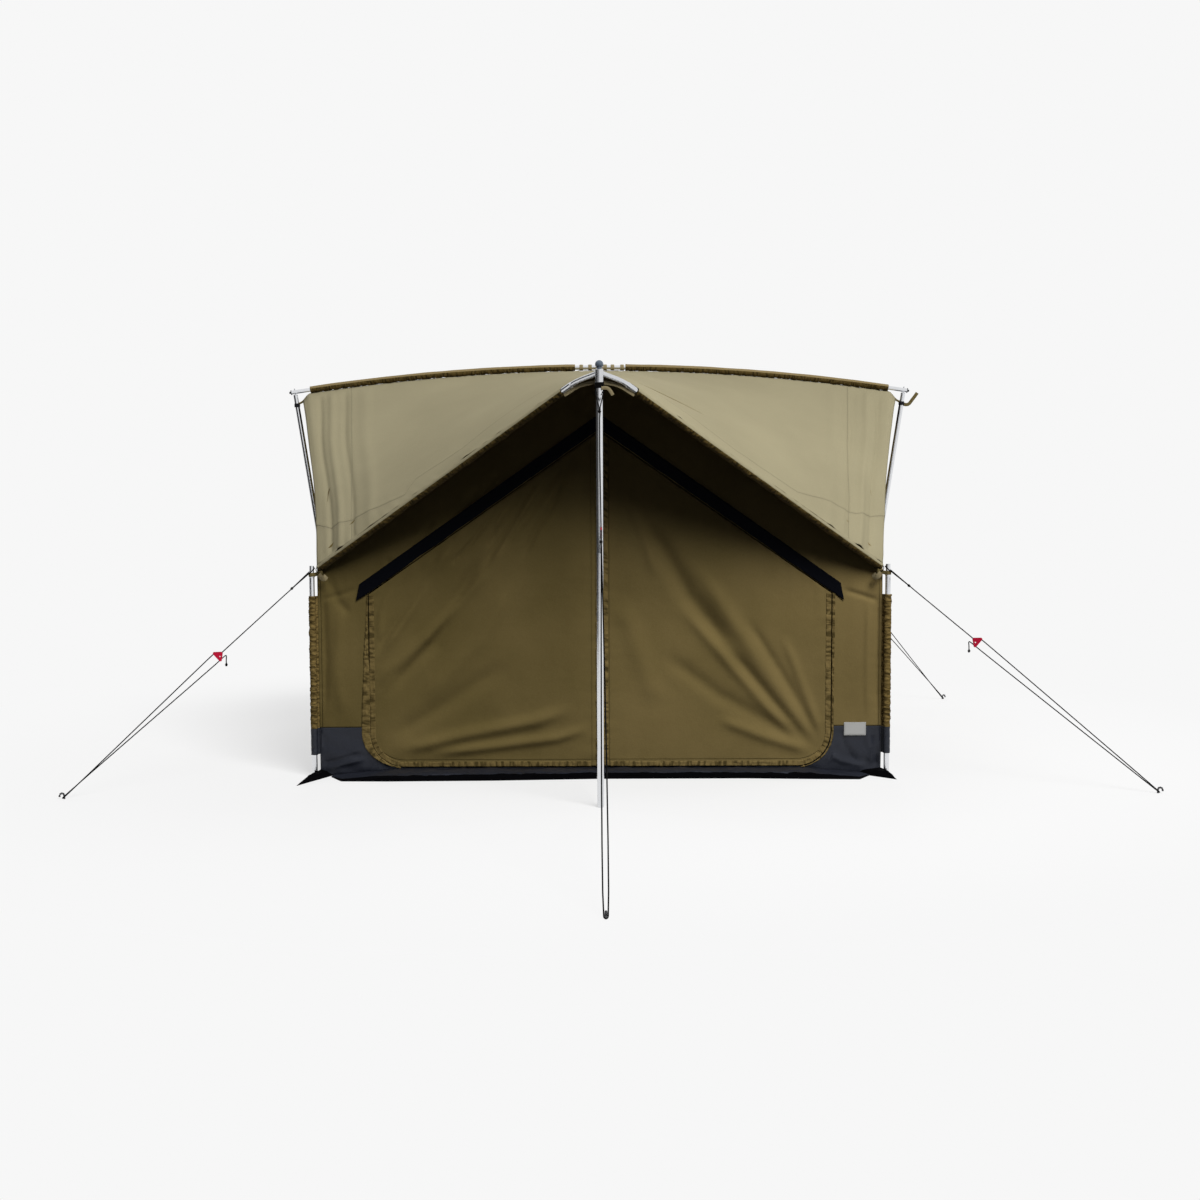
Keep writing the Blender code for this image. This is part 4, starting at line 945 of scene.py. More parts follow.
def roof_relief(side_name, seed):
    """Soft hollows, folds along the free edge, and puckers where the panel is sewn."""

    def relief(u, v, place):
        from_hem, from_top = v * panel_length(u), (1 - v) * panel_length(u)
        tight = ease(from_hem / 0.25) * ease(from_top / 0.3)
        soft = 0.014 * wave(place.x * 1.3, place.y * 1.9, seed) * tight
        slant = 0.006 * wave(place.x * 3.4 + place.y * 2.2, place.x * 0.8, seed + 5) * tight
        swing = 0.012 * wave(v * 2.4, seed)
        streaks = sum(h * hump((u - at - swing) * 1.7, w) for at, w, h in EDGE_FOLDS)
        streaks += ease((u - 0.7) / 0.3) * wave(u * 30, v * 1.1, seed + 3) * 0.004
        hem = math.exp(-from_hem / 0.05) * wave(place.x * 30 + from_hem * 12, from_hem * 6, seed + 7)
        top = math.exp(-from_top / 0.035) * wave(place.x * 34, from_top * 8, seed + 9) * 0.004
        pull = hump(from_hem, 0.16) * wave(place.x * 7, from_hem * 3, seed + 8) * 0.006
        crease = crease_seam(side_name)(u, v, place)
        step = 0.0035 * crease[1] * hump(crease[0] - 0.012, 0.016)
        total = soft + slant + streaks * ease(from_top / 0.1) + hem * 0.005 + top + pull + step
        return max(total, -0.0004 - 0.03 * ease(from_hem / 0.07))

    return relief


# %% Roof panels
ROOF_COLUMNS, ROOF_ROWS = 170, 140
HEM_LOW, HEM_HIGH, HEM_TURN = 330, 85, 152  # degrees: the pocket's roll, and where the painted shade of its lower front ends
HEM_CUT = (1.53, 0.1)
PANEL_CUT = (ROOF_TIP_X, PANEL_LENGTH)
for corner, side, end in CORNERS:
    name, side_name = f"roof_{corner}", corner.split("_")[1]
    seed = 10 * side + 30 * end

    def roof_surface(u, v):
        x = u * ROOF_CORNER_X
        start = FRONT_CUT * ease((HEM_START_X - x) / 0.02)
        return mirrored(roof_point(u, start + (1 - start) * v), side, end)

    bm = laid_grid(ROOF_COLUMNS, ROOF_ROWS, PANEL_CUT, roof_surface, roof_relief(side_name, seed),
                   (0, 0, 1), (crease_seam(side_name), join_seam))
    area = area_of(bm)
    panel = thicken(make_piece(name + "_cloth", bm, [roof_canvas, inner_canvas]), inside=1)
    stand_in(panel, name)

    def hem_surface(u, v):
        """The pocket's roll round the rafter, tight to it, with slanting puckers below."""
        x = HEM_START_X + u * (ROOF_CORNER_X - HEM_START_X)
        turn = HEM_LOW + (HEM_HIGH - HEM_LOW) * v
        under = ease((turn - HEM_TURN + 30) / 60)
        pucker = wave(x * 62 + turn * 0.03, v * 2, seed) * 0.24 * under
        ripple = 1 + (0.01 + 0.12 * under) * wave(x * 17, v * 3, seed) + pucker
        turn = math.radians(turn)
        ring = math.cos(turn) * ROOF_BACK + math.sin(turn) * ROOF_NORMAL
        return mirrored(rafter_at(x) + ring * (HEM_RADIUS * ripple), side, end)

    hem = laid_grid(420, 18, HEM_CUT, hem_surface, outward=mirrored((0, 1, -1), side, end))
    # painted shade: the pocket's lower front takes the darker gathered canvas, its lit top the roof canvas
    shade_end = (HEM_LOW - HEM_TURN) / (HEM_LOW - HEM_HIGH) * HEM_CUT[1]
    for face, across in across_of(hem):
        face.material_index = int(across > shade_end)
    hem_piece = thicken(make_piece(name + "_pocket", hem, [shaded_gather_canvas, roof_canvas]))
    print(name, "cloth", round(area, 2), "square metres")


# %% [markdown]
# The sleeves that hold the cross pole and the ridge poles are strips of brown canvas sewn to the
# roof along their lower side. The stitching gathers them, so small slanting puckers start at the
# seam and die out over the top. Their lower side is a darker canvas, painted shade of the side that
# looks down. They are rolled round the pole as grids.

# %% Sleeves over the poles
SLEEVE_COLUMN, PAINTED_SHADE_LEVEL = 0.004, 0.3  # a column's width, and how high up round the sleeve its painted shade reaches


def sleeve(name, centre_at, length, side_way, seed):
    """A cloth tube: centre_at(distance) is its axis, and puckers run up from its sewn side."""
    radius = SLEEVE_RADIUS

    def surface(u, v):
        run = u * length
        here = centre_at(run)
        way = (centre_at(run + 0.01) - centre_at(run - 0.01)).normalized()
        across = Vector(side_way)
        up = way.cross(across).normalized()
        up = up if up.z > 0 else -up
        turn = 2 * math.pi * v - math.pi / 2
        sewn = 0.5 - 0.5 * math.sin(turn)
        slant = run * 46 + math.cos(turn) * 1.6
        ripple = (0.05 + 0.95 * sewn) * 0.30 * wave(slant, v * 2, seed)
        ripple += 0.07 * wave(run * 9, v * 5, seed + 4)
        bunch = ease(1 - min(run, length - run) / 0.02)
        ripple += 0.08 * bunch * wave(run * 300, v * 9, seed + 6)
        low = 1 + 0.12 * max(0.0, sewn - 0.8)
        return here + radius * (1 + ripple) * (math.cos(turn) * across + math.sin(turn) * up * low)

    bm = laid_grid(int(length / SLEEVE_COLUMN), 24, (length, 2 * math.pi * radius), surface)
    # painted shade: the sleeve's lower side takes the darker gathered canvas
    for face, across in across_of(bm):
        face.material_index = int(math.sin(across / radius - math.pi / 2) < PAINTED_SHADE_LEVEL)
    close_round(bm)
    piece = make_piece(name + "_cloth", bm, [sleeve_canvas, shaded_gather_canvas])
    stand_in(thicken(piece, offset=-1), name)


SLEEVE_STARTS = {"left": 0.144, "right": 0.156}  # how far from the crown the sleeves start
for side_name, side in SIDES.items():
    start = SLEEVE_STARTS[side_name]

    def cross_at(distance):
        x = start + distance
        return Vector((x * side, 0, cross_z(x)))

    sleeve(f"cross_sleeve_{side_name}", cross_at, SLEEVE_END_X - start, (0, 1, 0), 50 + side)
for end_name, end in ENDS.items():

    def ridge_at(distance):
        y = SLEEVE_BACK_Y + distance
        return Vector((0, y * end, ridge_z(y)))

    sleeve(f"ridge_sleeve_{end_name}", ridge_at, SLEEVE_FRONT_Y - SLEEVE_BACK_Y, (1, 0, 0), 60 + end)
print("sleeves over the poles:", len(SIDES) + len(ENDS))


# %% [markdown]
# The front wall is the canvas round the doorway: two wings and what joins them above. It starts as
# one grid from the tub's edge up to the roof, with its top row following the roof. Four straight
# cuts mark the doorway's sides and sloping top, and the faces between them are taken out.

# %% Heights of the roof over the walls
def roof_heights_at_y(y):
    """Places across the tent and heights of the roof in the plane of an end wall."""
    found = []
    for i in range(61):
        u = i / 60
        found.append(roof_point(u, 1 - y / rafter_top(ROOF_CORNER_X * u).y))
    return [p.x for p in found], [p.z for p in found]


def roof_heights_at_x(x):
    """Places along the tent and heights of the roof in the plane of a side wall."""
    found = []
    for i in range(61):
        v = i / 60
        lift = (1 - v) * ROOF_NORMAL.x * HEM_RADIUS
        found.append(roof_point(min(1.0, (x - lift) / ((1 - v) * ROOF_CORNER_X + v * ROOF_TIP_X)), v))
    return [p.y for p in reversed(found)], [p.z for p in reversed(found)]


END_EAVES = roof_heights_at_y(WALL_Y)
SIDE_EAVES = roof_heights_at_x(WALL_X)


def end_top(x):
    return float(np.interp(abs(x), *END_EAVES)) - EAVES_GAP


def side_top(y):
    return float(np.interp(abs(y), *SIDE_EAVES)) - SIDE_EAVES_GAP


def door_top(x, grow=0.0):
    """The doorway's sloping top edge, moved out by grow."""
    return DOOR_SIDE_TOP + grow * math.hypot(1, DOOR_SLOPE) + DOOR_SLOPE * (DOOR_HINGE_X - abs(x))


# %% Folds of the end walls
# each fold is a line of (x, z) places, its width and its height
WALL_FOLDS = [
    ([(-0.62, 1.52), (-0.70, 1.40), (-0.77, 1.30)], 0.020, -0.012),
    ([(-0.52, 1.60), (-0.60, 1.48), (-0.66, 1.40)], 0.016, -0.010),
    ([(-0.86, 1.36), (-0.93, 1.24), (-0.98, 1.16)], 0.018, -0.009),
    ([(-1.12, 1.16), (-1.08, 1.08), (-1.12, 1.00)], 0.014, -0.007),
    ([(1.265, 0.975), (1.464, 0.912)], 0.014, -0.008),
    ([(-1.455, 1.02), (-1.44, 0.62), (-1.45, 0.30)], 0.022, -0.012),
    ([(-1.36, 0.92), (-1.38, 0.56), (-1.36, 0.30)], 0.030, 0.008),
    ([(1.405, 0.94), (1.40, 0.60), (1.405, 0.27)], 0.013, 0.008),
    ([(1.455, 1.00), (1.45, 0.62), (1.455, 0.28)], 0.018, -0.010),
    ([(-1.42, 1.06), (-1.37, 0.92), (-1.30, 0.84)], 0.02, -0.008),
    ([(-1.46, 0.93), (-1.35, 0.955), (-1.26, 0.99)], 0.014, -0.006),
]


def wall_relief(seed, folds=()):
    """Soft hollows, and folds that hang from the roof and lean towards the corners."""

    def relief(u, v, place):
        from_top = end_top(place.x) - place.z
        from_low = place.z - TUB_TOP
        from_side = WALL_X - abs(place.x)
        tight = ease(min(from_top / 0.1, from_low / 0.1, from_side / 0.06))
        soft = wave(place.x * 2.2, place.z * 1.3, seed) * 0.007
        upright = wave(place.x * 15, place.z * 0.9, seed + 2) * 0.003
        lean = place.x + math.copysign(0.6, place.x) * from_top
        hung = math.exp(-max(0, from_top) / 0.13) * wave(lean * 13, from_top * 1.5, seed + 4) * 0.009
        puckers = math.exp(-max(0, from_top) / 0.03) * wave(place.x * 45, 0, seed + 5) * 0.003
        side_seam = math.exp(-from_side / 0.03) * wave(place.z * 30, place.x, seed + 6) * 0.003
        low = math.exp(-from_low / 0.04) * wave(place.x * 24, 0, seed + 8) * 0.002
        lines = sum(fold(place.x, place.z, *one) for one in folds)
        held = ease(from_low / 0.02)
        return (soft + upright) * tight + (hung + puckers + side_seam + lines) * held + low * held

    return relief


def side_seam_line(u, v, place):
    return WALL_X - 0.014 - abs(place.x), 0.8


def eaves_seam_line(u, v, place):
    return end_top(place.x) - 0.028 - place.z, 0.7


# %% Front wall
WALL_COLUMNS, WALL_ROWS = 300, 130
HALF_FRONT = WALL_X + CLOTH / 2
DOOR_EDGE = DOOR_HINGE_X + DOOR_GAP / 2


def end_surface(end):
    def surface(u, v):
        x = HALF_FRONT * (2 * u - 1)
        return Vector((x, WALL_Y * end, TUB_TOP + v * (end_top(x) - TUB_TOP)))

    return surface


def cut_out(bm, planes, inside):
    """Cuts the sheet along planes of (point, normal) and drops the faces that are inside."""
    for point, normal in planes:
        whole = bm.verts[:] + bm.edges[:] + bm.faces[:]
        bmesh.ops.bisect_plane(bm, geom=whole, plane_co=point, plane_no=normal)
    gone = [face for face in bm.faces if inside(face.calc_center_median())]
    bmesh.ops.delete(bm, geom=gone, context="FACES")
    return bm


def in_doorway(place):
    return abs(place.x) < DOOR_EDGE and place.z < door_top(place.x, DOOR_GAP)


cuts = []
for side in SIDES.values():
    cuts.append(((DOOR_EDGE * side, 0, 0), (1, 0, 0)))
    cuts.append(((0, 0, door_top(0, DOOR_GAP)), (DOOR_SLOPE * side, 0, 1)))
wall_cut = (2 * HALF_FRONT, 1.65)
front_relief = wall_relief(3, WALL_FOLDS)
wall_seams = (side_seam_line, eaves_seam_line)
bm = laid_grid(WALL_COLUMNS, WALL_ROWS, wall_cut, end_surface(-1), front_relief, (0, -1, 0), wall_seams)
cut_out(bm, cuts, in_doorway)
front_area = area_of(bm)
front_wall = thicken(make_piece("front_wall_cloth", bm, [wall_canvas, inner_canvas]), inside=1)
stand_in(front_wall, "front_wall")
front_area / HALF_FRONT
print("front wall", round(front_area, 2), "square metres")


# %% [markdown]
# Each door leaf is a wide panel with a rounded lower corner. The cloth is pulled towards that corner
# and towards the seam at its top, so long soft folds run between them. The leaf's grid has more
# columns where the corner curves, and each column runs from the sill to the sloping top. Strips of
# cloth cover the zip: one is sewn to the leaf all round, one to the wall beside it, and one down the
# middle of each leaf. They are bands of grid that follow the leaf's outline and its folds.

# %% Outline of a door leaf
DOOR_EDGE_X = DOOR_HINGE_X - DOOR_GAP / 2
CENTRE_GAP = 0.0015


def door_low(across, grow=0.0):
    """Height of the doorway's lower edge, which turns up round the corner."""
    side, radius = DOOR_EDGE_X + grow, DOOR_CORNER + grow
    past = min(radius, max(0.0, across - (side - radius)))
    return DOOR_BOTTOM - grow + radius - math.sqrt(radius**2 - past**2)


def spread_columns(u, flat_end, side):
    """Columns from the middle to the side, even at first and then by the corner's angle."""
    share = 0.8
    if u < share:
        return flat_end * u / share
    turn = (u - share) / (1 - share) * math.pi / 2
    return flat_end + (side - flat_end) * math.sin(turn)


def outline(distance):
    """A place on the leaf's outer edge from its top down, and its inward direction, as (x, z)."""
    straight = DOOR_SIDE_TOP - DOOR_BOTTOM - DOOR_CORNER
    arc = DOOR_CORNER * math.pi / 2
    centre = (DOOR_EDGE_X - DOOR_CORNER, DOOR_BOTTOM + DOOR_CORNER)
    if distance < straight:
        return (DOOR_EDGE_X, DOOR_SIDE_TOP - distance), (-1, 0)
    if distance < straight + arc:
        turn = (distance - straight) / DOOR_CORNER
        way = (math.cos(turn), -math.sin(turn))
        return (centre[0] + DOOR_CORNER * way[0], centre[1] + DOOR_CORNER * way[1]), (-way[0], -way[1])
    return (centre[0] - (distance - straight - arc), DOOR_BOTTOM), (0, 1)


OUTLINE_LENGTH = DOOR_SIDE_TOP - DOOR_BOTTOM - DOOR_CORNER + DOOR_CORNER * math.pi / 2
OUTLINE_LENGTH += DOOR_EDGE_X - DOOR_CORNER

# %% Folds of the door leaves
LEFT_FOLDS = [
    ([(-0.33, 1.60), (-0.431, 1.445), (-0.493, 1.341), (-0.60, 1.18)], 0.015, -0.014),
    ([(-0.16, 1.62), (-0.256, 1.403), (-0.328, 1.300), (-0.42, 1.12)], 0.017, -0.014),
    ([(-0.54, 1.40), (-0.658, 1.238), (-0.782, 1.10)], 0.014, -0.012),
    ([(-0.38, 1.58), (-0.47, 1.44), (-0.56, 1.28)], 0.011, 0.008),
    ([(-0.30, 1.62), (-0.45, 1.36), (-0.62, 1.07)], 0.024, -0.017),
    ([(-0.28, 1.56), (-0.43, 1.33), (-0.60, 1.06)], 0.018, 0.011),
    ([(-0.16, 1.66), (-0.34, 1.42), (-0.55, 1.15)], 0.030, -0.017),
    ([(-0.72, 1.30), (-0.948, 0.944), (-1.17, 0.60)], 0.028, 0.015),
    ([(-0.60, 1.20), (-0.869, 0.707), (-1.18, 0.40)], 0.036, -0.018),
    ([(-0.82, 1.14), (-1.20, 0.62)], 0.022, -0.009),
    ([(-0.70, 0.95), (-1.18, 0.40)], 0.030, 0.013),
    ([(-0.52, 1.14), (-0.84, 0.80), (-1.20, 0.46)], 0.028, 0.012),
    ([(-0.45, 1.05), (-0.62, 0.72), (-0.96, 0.36)], 0.050, 0.012),
    ([(-1.10, 0.12), (-0.708, 0.214), (-0.343, 0.283), (-0.12, 0.36)], 0.034, 0.021),
    ([(-0.92, 0.11), (-0.496, 0.160), (-0.226, 0.195), (-0.02, 0.26)], 0.026, 0.017),
    ([(-1.13, 0.18), (-0.80, 0.38), (-0.48, 0.60)], 0.045, -0.013),
    ([(-1.08, 1.02), (-1.15, 0.86), (-1.16, 0.70)], 0.018, 0.007),
]
RIGHT_FOLDS = [
    ([(0.22, 1.36), (0.323, 1.20), (0.464, 0.944), (0.605, 0.755), (0.70, 0.62)], 0.050, -0.028),
    ([(0.64, 0.70), (0.676, 0.650), (0.90, 0.38), (1.14, 0.11)], 0.034, -0.018),
    ([(0.40, 0.92), (0.53, 0.77), (0.629, 0.650), (0.888, 0.354), (1.12, 0.12)], 0.034, 0.018),
    ([(0.46, 1.16), (0.62, 0.92), (0.86, 0.55), (1.14, 0.14)], 0.045, 0.015),
    ([(0.30, 0.66), (0.62, 0.42), (1.12, 0.14)], 0.040, -0.012),
    ([(0.60, 0.30), (0.86, 0.20), (1.12, 0.12)], 0.030, 0.013),
    ([(0.75, 0.85), (0.98, 0.48), (1.16, 0.16)], 0.026, -0.011),
    ([(0.95, 0.75), (1.08, 0.42), (1.17, 0.18)], 0.024, 0.009),
    ([(0.12, 1.52), (0.24, 1.24), (0.30, 1.02)], 0.030, 0.009),
    ([(0.10, 0.95), (0.22, 0.60), (0.30, 0.34)], 0.060, 0.011),
]


def leaf_relief(side):
    """How far a place of the leaf stands out: long folds, and fine ones along its seams."""
    folds = LEFT_FOLDS if side < 0 else RIGHT_FOLDS

    def relief(u, v, place):
        across = abs(place.x)
        low = door_low(min(across, DOOR_EDGE_X))
        edge = min(across - CENTRE_GAP, DOOR_HINGE_X - across, (place.z - low) * 1.5)
        top = door_top(place.x) - place.z
        edge = max(0.0, min(edge, top))
        fade = ease(edge / 0.09)
        total = sum(fold(place.x, place.z, *one) for one in folds)
        total += 0.010 * wave(place.x * 1.7, place.z * 1.2, side + 20)
        total += 0.0025 * wave(place.x * 8, place.z * 5, side + 30)
        middle = math.exp(-across / 0.05) * wave(place.z * 22, across * 4, side) * 0.005
        sill = math.exp(-(place.z - low) / 0.05) * wave(place.x * 17, side, 2) * 0.004
        seam = math.exp(-(DOOR_HINGE_X - across) / 0.04) * wave(place.z * 20, side, 5) * 0.004
        hung = math.exp(-max(0.0, top) / 0.08) * wave(across * 17, side, 8) * 0.006
        return total * fade + (middle + sill + seam + hung) * ease(edge / 0.02)

    return relief


def middle_stitch(u, v, place):
    return abs(place.x) - 0.046, 0.55


def sill_stitch(u, v, place):
    return place.z - door_low(min(abs(place.x), DOOR_EDGE_X)) - 0.036, 0.5


# %% Strips over the zip
STRIP_LIFT, STRIP_WIDTH = 0.0017, 0.027
GUARD_WIDTHS = {"left": (0.004, 0.044), "right": (0.014, 0.010)}  # at the top and the bottom


def front_face(place):
    """How far the wall or the band of the tub stands out of the front plane here."""
    if place.z > TUB_TOP:
        return front_relief(0, 0, place)
    return CLOTH / 2 + 0.0012 + band_out(place)


BAND_FOLDS = [
    ([(-1.465, 0.03), (-1.38, 0.055), (-1.22, 0.095)], 0.013, 0.008),
    ([(-1.46, 0.06), (-1.36, 0.09), (-1.24, 0.12)], 0.012, -0.006),
    ([(-1.455, 0.24), (-1.462, 0.13), (-1.455, 0.03)], 0.010, -0.008),
    ([(1.405, 0.245), (1.415, 0.14), (1.425, 0.03)], 0.009, 0.008),
    ([(1.435, 0.24), (1.445, 0.13), (1.455, 0.03)], 0.010, -0.009),
    ([(1.265, 0.24), (1.285, 0.15), (1.36, 0.035)], 0.010, -0.008),
    ([(1.18, 0.12), (1.27, 0.07), (1.41, 0.04)], 0.013, 0.008),
]


def band_out(place):
    """Creases of the tub's band, which die out at its top, its foot and the corners."""
    from_corner = abs(abs(place.x) - BAND_X) + abs(abs(place.y) - BAND_Y)
    low = math.exp(-place.z / 0.03)
    fade = ease(min(place.z, band_top(place) - place.z) / 0.03) * ease(from_corner / 0.03)
    run = place.x + place.y
    sag = 0.006 * wave(run * 3.4, place.z * 9, 101) + 0.004 * wave(run * 11, place.z * 12, 102)
    crease = 0.004 * wave(run * 7 + place.z * 16, place.z * 9, 103)
    if place.y < -WALL_Y + 1e-6:
        crease += sum(fold(place.x, place.z, *one) for one in BAND_FOLDS)
    return (sag + crease) * fade - 0.004 * low * ease(from_corner / 0.02)


def band_top(place):
    """The band's upper edge, which dips under the doorway."""
    if place.y > -BAND_Y + 1e-6 or abs(place.x) > DOOR_EDGE + 0.004:
        return TUB_TOP
    return min(TUB_TOP, door_low(min(abs(place.x), DOOR_EDGE), DOOR_GAP)) - 0.001


BAND_X, BAND_Y = WALL_X + CLOTH / 2, WALL_Y + CLOTH / 2


def hem_strip(side_name, side, relief):
    """The strip sewn to the leaf along its outer edge and its foot."""

    def surface(u, v):
        (x, z), (dx, dz) = outline(u * OUTLINE_LENGTH * 0.975)
        reach = v * STRIP_WIDTH * (1 + 0.06 * wave(u * 40, side, 6))
        return Vector(((x + dx * reach) * side, -WALL_Y, z + dz * reach))

    def lift(u, v, place):
        pucker = wave(u * 120, v, side + 12) * 0.0022 + wave(u * 50, v * 2, side + 14) * 0.0026
        return relief(0, 0, place) + STRIP_LIFT + pucker * ease(v / 0.3)

    bm = laid_grid(330, 6, (OUTLINE_LENGTH, STRIP_WIDTH), surface, lift, (0, -1, 0))
    return make_piece(f"door_hem_{side_name}", bm, [zip_canvas], f"{side_name}_door")


def zip_guard(side_name, side):
    """The strip sewn to the wall beside the leaf, which runs out round the lower corner."""
    top, bottom = GUARD_WIDTHS[side_name]
    straight = DOOR_SIDE_TOP - DOOR_BOTTOM - DOOR_CORNER
    length = straight + DOOR_CORNER * math.pi / 2 * 0.92

    def surface(u, v):
        run = u * length
        (x, z), (dx, dz) = outline(run)
        width = top + (bottom - top) * ease(run / straight) ** 0.8
        width *= 1 - 0.85 * ease((run - straight) / (length - straight))
        # the left strip laps over the gap at the zip from a little below its top
        covered = DOOR_GAP * ease((run - 0.30) / 0.12) if side < 0 else 0.0
        reach = covered - DOOR_GAP - v * width - 0.0004
        return Vector(((x + dx * reach) * side, -WALL_Y, z + dz * reach))

    def lift(u, v, place):
        pucker = wave(u * 48, v * 3, side + 16) * 0.005 + wave(u * 20, v, side + 18) * 0.003
        return front_face(place) + STRIP_LIFT + 0.003 * v + pucker * ease(v / 0.4)

    bm = laid_grid(220, 6, (length, bottom), surface, lift, (0, -1, 0))
    return make_piece(f"zip_guard_{side_name}", bm, [zip_canvas], "tent")


COVER_EDGES = {"left": (0.0016, 0.021), "right": (0.0016, 0.042)}  # from the doorway's middle


def centre_cover(side_name, side, relief):
    """The ruffled strip down the middle of a leaf."""
    inner, outer = COVER_EDGES[side_name]
    low = DOOR_BOTTOM + 0.003

    def surface(u, v):
        across = inner + v * (outer - inner)
        across += 0.0022 * v * wave(u * 26, side, 3)
        top = door_top(across) - 0.004
        return Vector((across * side, -WALL_Y, low + u * (top - low)))

    def lift(u, v, place):
        ruffle = wave(u * 40, v * 1.4, side + 22) * 0.0075 + wave(u * 95, v * 2, side + 24) * 0.003
        swell = 0.006 * math.sin(math.pi * (0.25 + 0.6 * v)) if side > 0 else 0.002
        return relief(0, 0, place) + STRIP_LIFT + swell + max(-swell, ruffle * (0.35 + 0.65 * v))

    bm = laid_grid(360, 8, (1.75, outer - inner), surface, lift, (0, -1, 0))
    return make_piece(f"zip_cover_{side_name}", bm, [zip_canvas], f"{side_name}_door")


# %% Door leaves
for side_name, side in SIDES.items():
    relief = leaf_relief(side)

    def leaf_surface(u, v):
        across = max(CENTRE_GAP, spread_columns(u, DOOR_EDGE_X - DOOR_CORNER, DOOR_EDGE_X))
        low = door_low(across)
        return Vector((across * side, -WALL_Y, low + v * (door_top(across) - low)))

    bm = laid_grid(150, 170, (1.21, 1.5), leaf_surface, relief, (0, -1, 0), (middle_stitch, sill_stitch))
    area = area_of(bm)
    name = f"door_{side_name}"
    leaf = make_piece(name + "_cloth", bm, [wall_canvas, inner_canvas], f"{side_name}_door")
    thicken(leaf, inside=1)
    strips = [hem_strip(side_name, side, relief), centre_cover(side_name, side, relief)]
    guard = zip_guard(side_name, side)
    for strip in (*strips, guard):
        thicken(strip, 0.001)
    stand_in(leaf, name)
    print(name, round(area, 2), "square metres")


# %% [markdown]
# A dark strip covers the seam over each leaf. It is sewn along its upper edge and hangs free below,
# so its lower edge waves a little off the wall, and its outer end is folded under.

# %% Dark strips over the doors
STRIP_TURN = 0.018  # the strip's outer end leans in this much from its foot to its top
for side_name, side in SIDES.items():

    def strip_surface(u, v):
        x = 0.004 + u * (FLAP_END_X - STRIP_TURN * v - 0.004)
        base = FLAP_BASE_Z + DOOR_SLOPE * (FLAP_END_X - x)
        base += 0.004 * (wave(x * 9, side, 33) + 0.5 * wave(x * 25, side, 35)) * ease(x / 0.05) + 0.002
        top = FLAP_BASE_Z + FLAP_HEIGHT + DOOR_SLOPE * (FLAP_END_X - STRIP_TURN - x)
        return Vector((x * side, -WALL_Y - 0.0045, base + v * (top - base)))

    def strip_relief(u, v, place):
        free = (1 - v) ** 1.5
        behind = max(0.0, front_relief(0, 0, place)) * v
        loose = 0.004 * free * (1 + wave(place.x * 11, v, side + 40))
        return behind + loose + 0.0012 * wave(place.x * 30, v * 4, side)

    def strip_seam(u, v, place):
        return (1 - v) * FLAP_HEIGHT - 0.008, 0.6

    bm = laid_grid(220, 12, (1.55, FLAP_HEIGHT), strip_surface, strip_relief, (0, -1, 0), (strip_seam,))
    area = area_of(bm)
    strip = thicken(make_piece(f"storm_flap_{side_name}_cloth", bm, [shade_cloth]), 0.0014)
    stand_in(strip, f"storm_flap_{side_name}")
    print("dark strip", side_name, round(area, 3), "square metres")


# %% [markdown]
# The side walls are plain panels under the roof's slope, and the rear wall has a window: a hole with
# rounded corners, a net over it and a flap of canvas that hangs inside from a seam.

# %% Side walls
for side_name, side in SIDES.items():

    def side_surface(u, v):
        y = (WALL_Y - CANVAS) * (2 * u - 1)
        return Vector((WALL_X * side, y, TUB_TOP + v * (side_top(y) - TUB_TOP)))

    def side_relief(u, v, place):
        tight = ease(min(u / 0.08, (1 - u) / 0.08, v / 0.1, (1 - v) / 0.1))
        soft = 0.014 * wave(place.y * 1.6, place.z * 1.2, side + 70)
        upright = 0.006 * wave(place.y * 9 + place.z * 1.5, place.z * 0.9, side + 72)
        from_top = max(0.0, side_top(place.y) - place.z)
        top = math.exp(-from_top / 0.10) * wave(place.y * 16, from_top * 2, side) * 0.007
        low = math.exp(-(place.z - TUB_TOP) / 0.05) * wave(place.y * 20, 0, side + 3) * 0.003
        return (soft + upright) * tight + (top + low) * ease(v / 0.02)

    def side_edge_seam(u, v, place):
        return WALL_Y - 0.016 - abs(place.y), 0.8

    def side_top_seam(u, v, place):
        return side_top(place.y) - 0.03 - place.z, 0.7

    bm = laid_grid(220, 150, (2.45, 1.6), side_surface, side_relief, (side, 0, 0),
                   (side_edge_seam, side_top_seam))
    area = area_of(bm)
    name = f"side_wall_{side_name}"
    piece = thicken(make_piece(name + "_cloth", bm, [wall_canvas, inner_canvas]), inside=1)
    stand_in(piece, name)
    print(name, round(area, 2), "square metres")

# %% Rear wall with its window
WINDOW_CORNER, WINDOW_MIDDLE = 0.06, (WINDOW_LOW + WINDOW_HIGH) / 2
WINDOW_BAND = 0.035


def window_distance(place):
    """How far a place of the rear wall is outside the window's rounded rectangle."""
    dx = abs(place.x) - (WINDOW_HALF - WINDOW_CORNER)
    dz = abs(place.z - WINDOW_MIDDLE) - ((WINDOW_HIGH - WINDOW_LOW) / 2 - WINDOW_CORNER)
    return math.hypot(max(dx, 0), max(dz, 0)) + min(max(dx, dz), 0) - WINDOW_CORNER


def window_seam(u, v, place):
    return window_distance(place) - WINDOW_BAND, 0.8


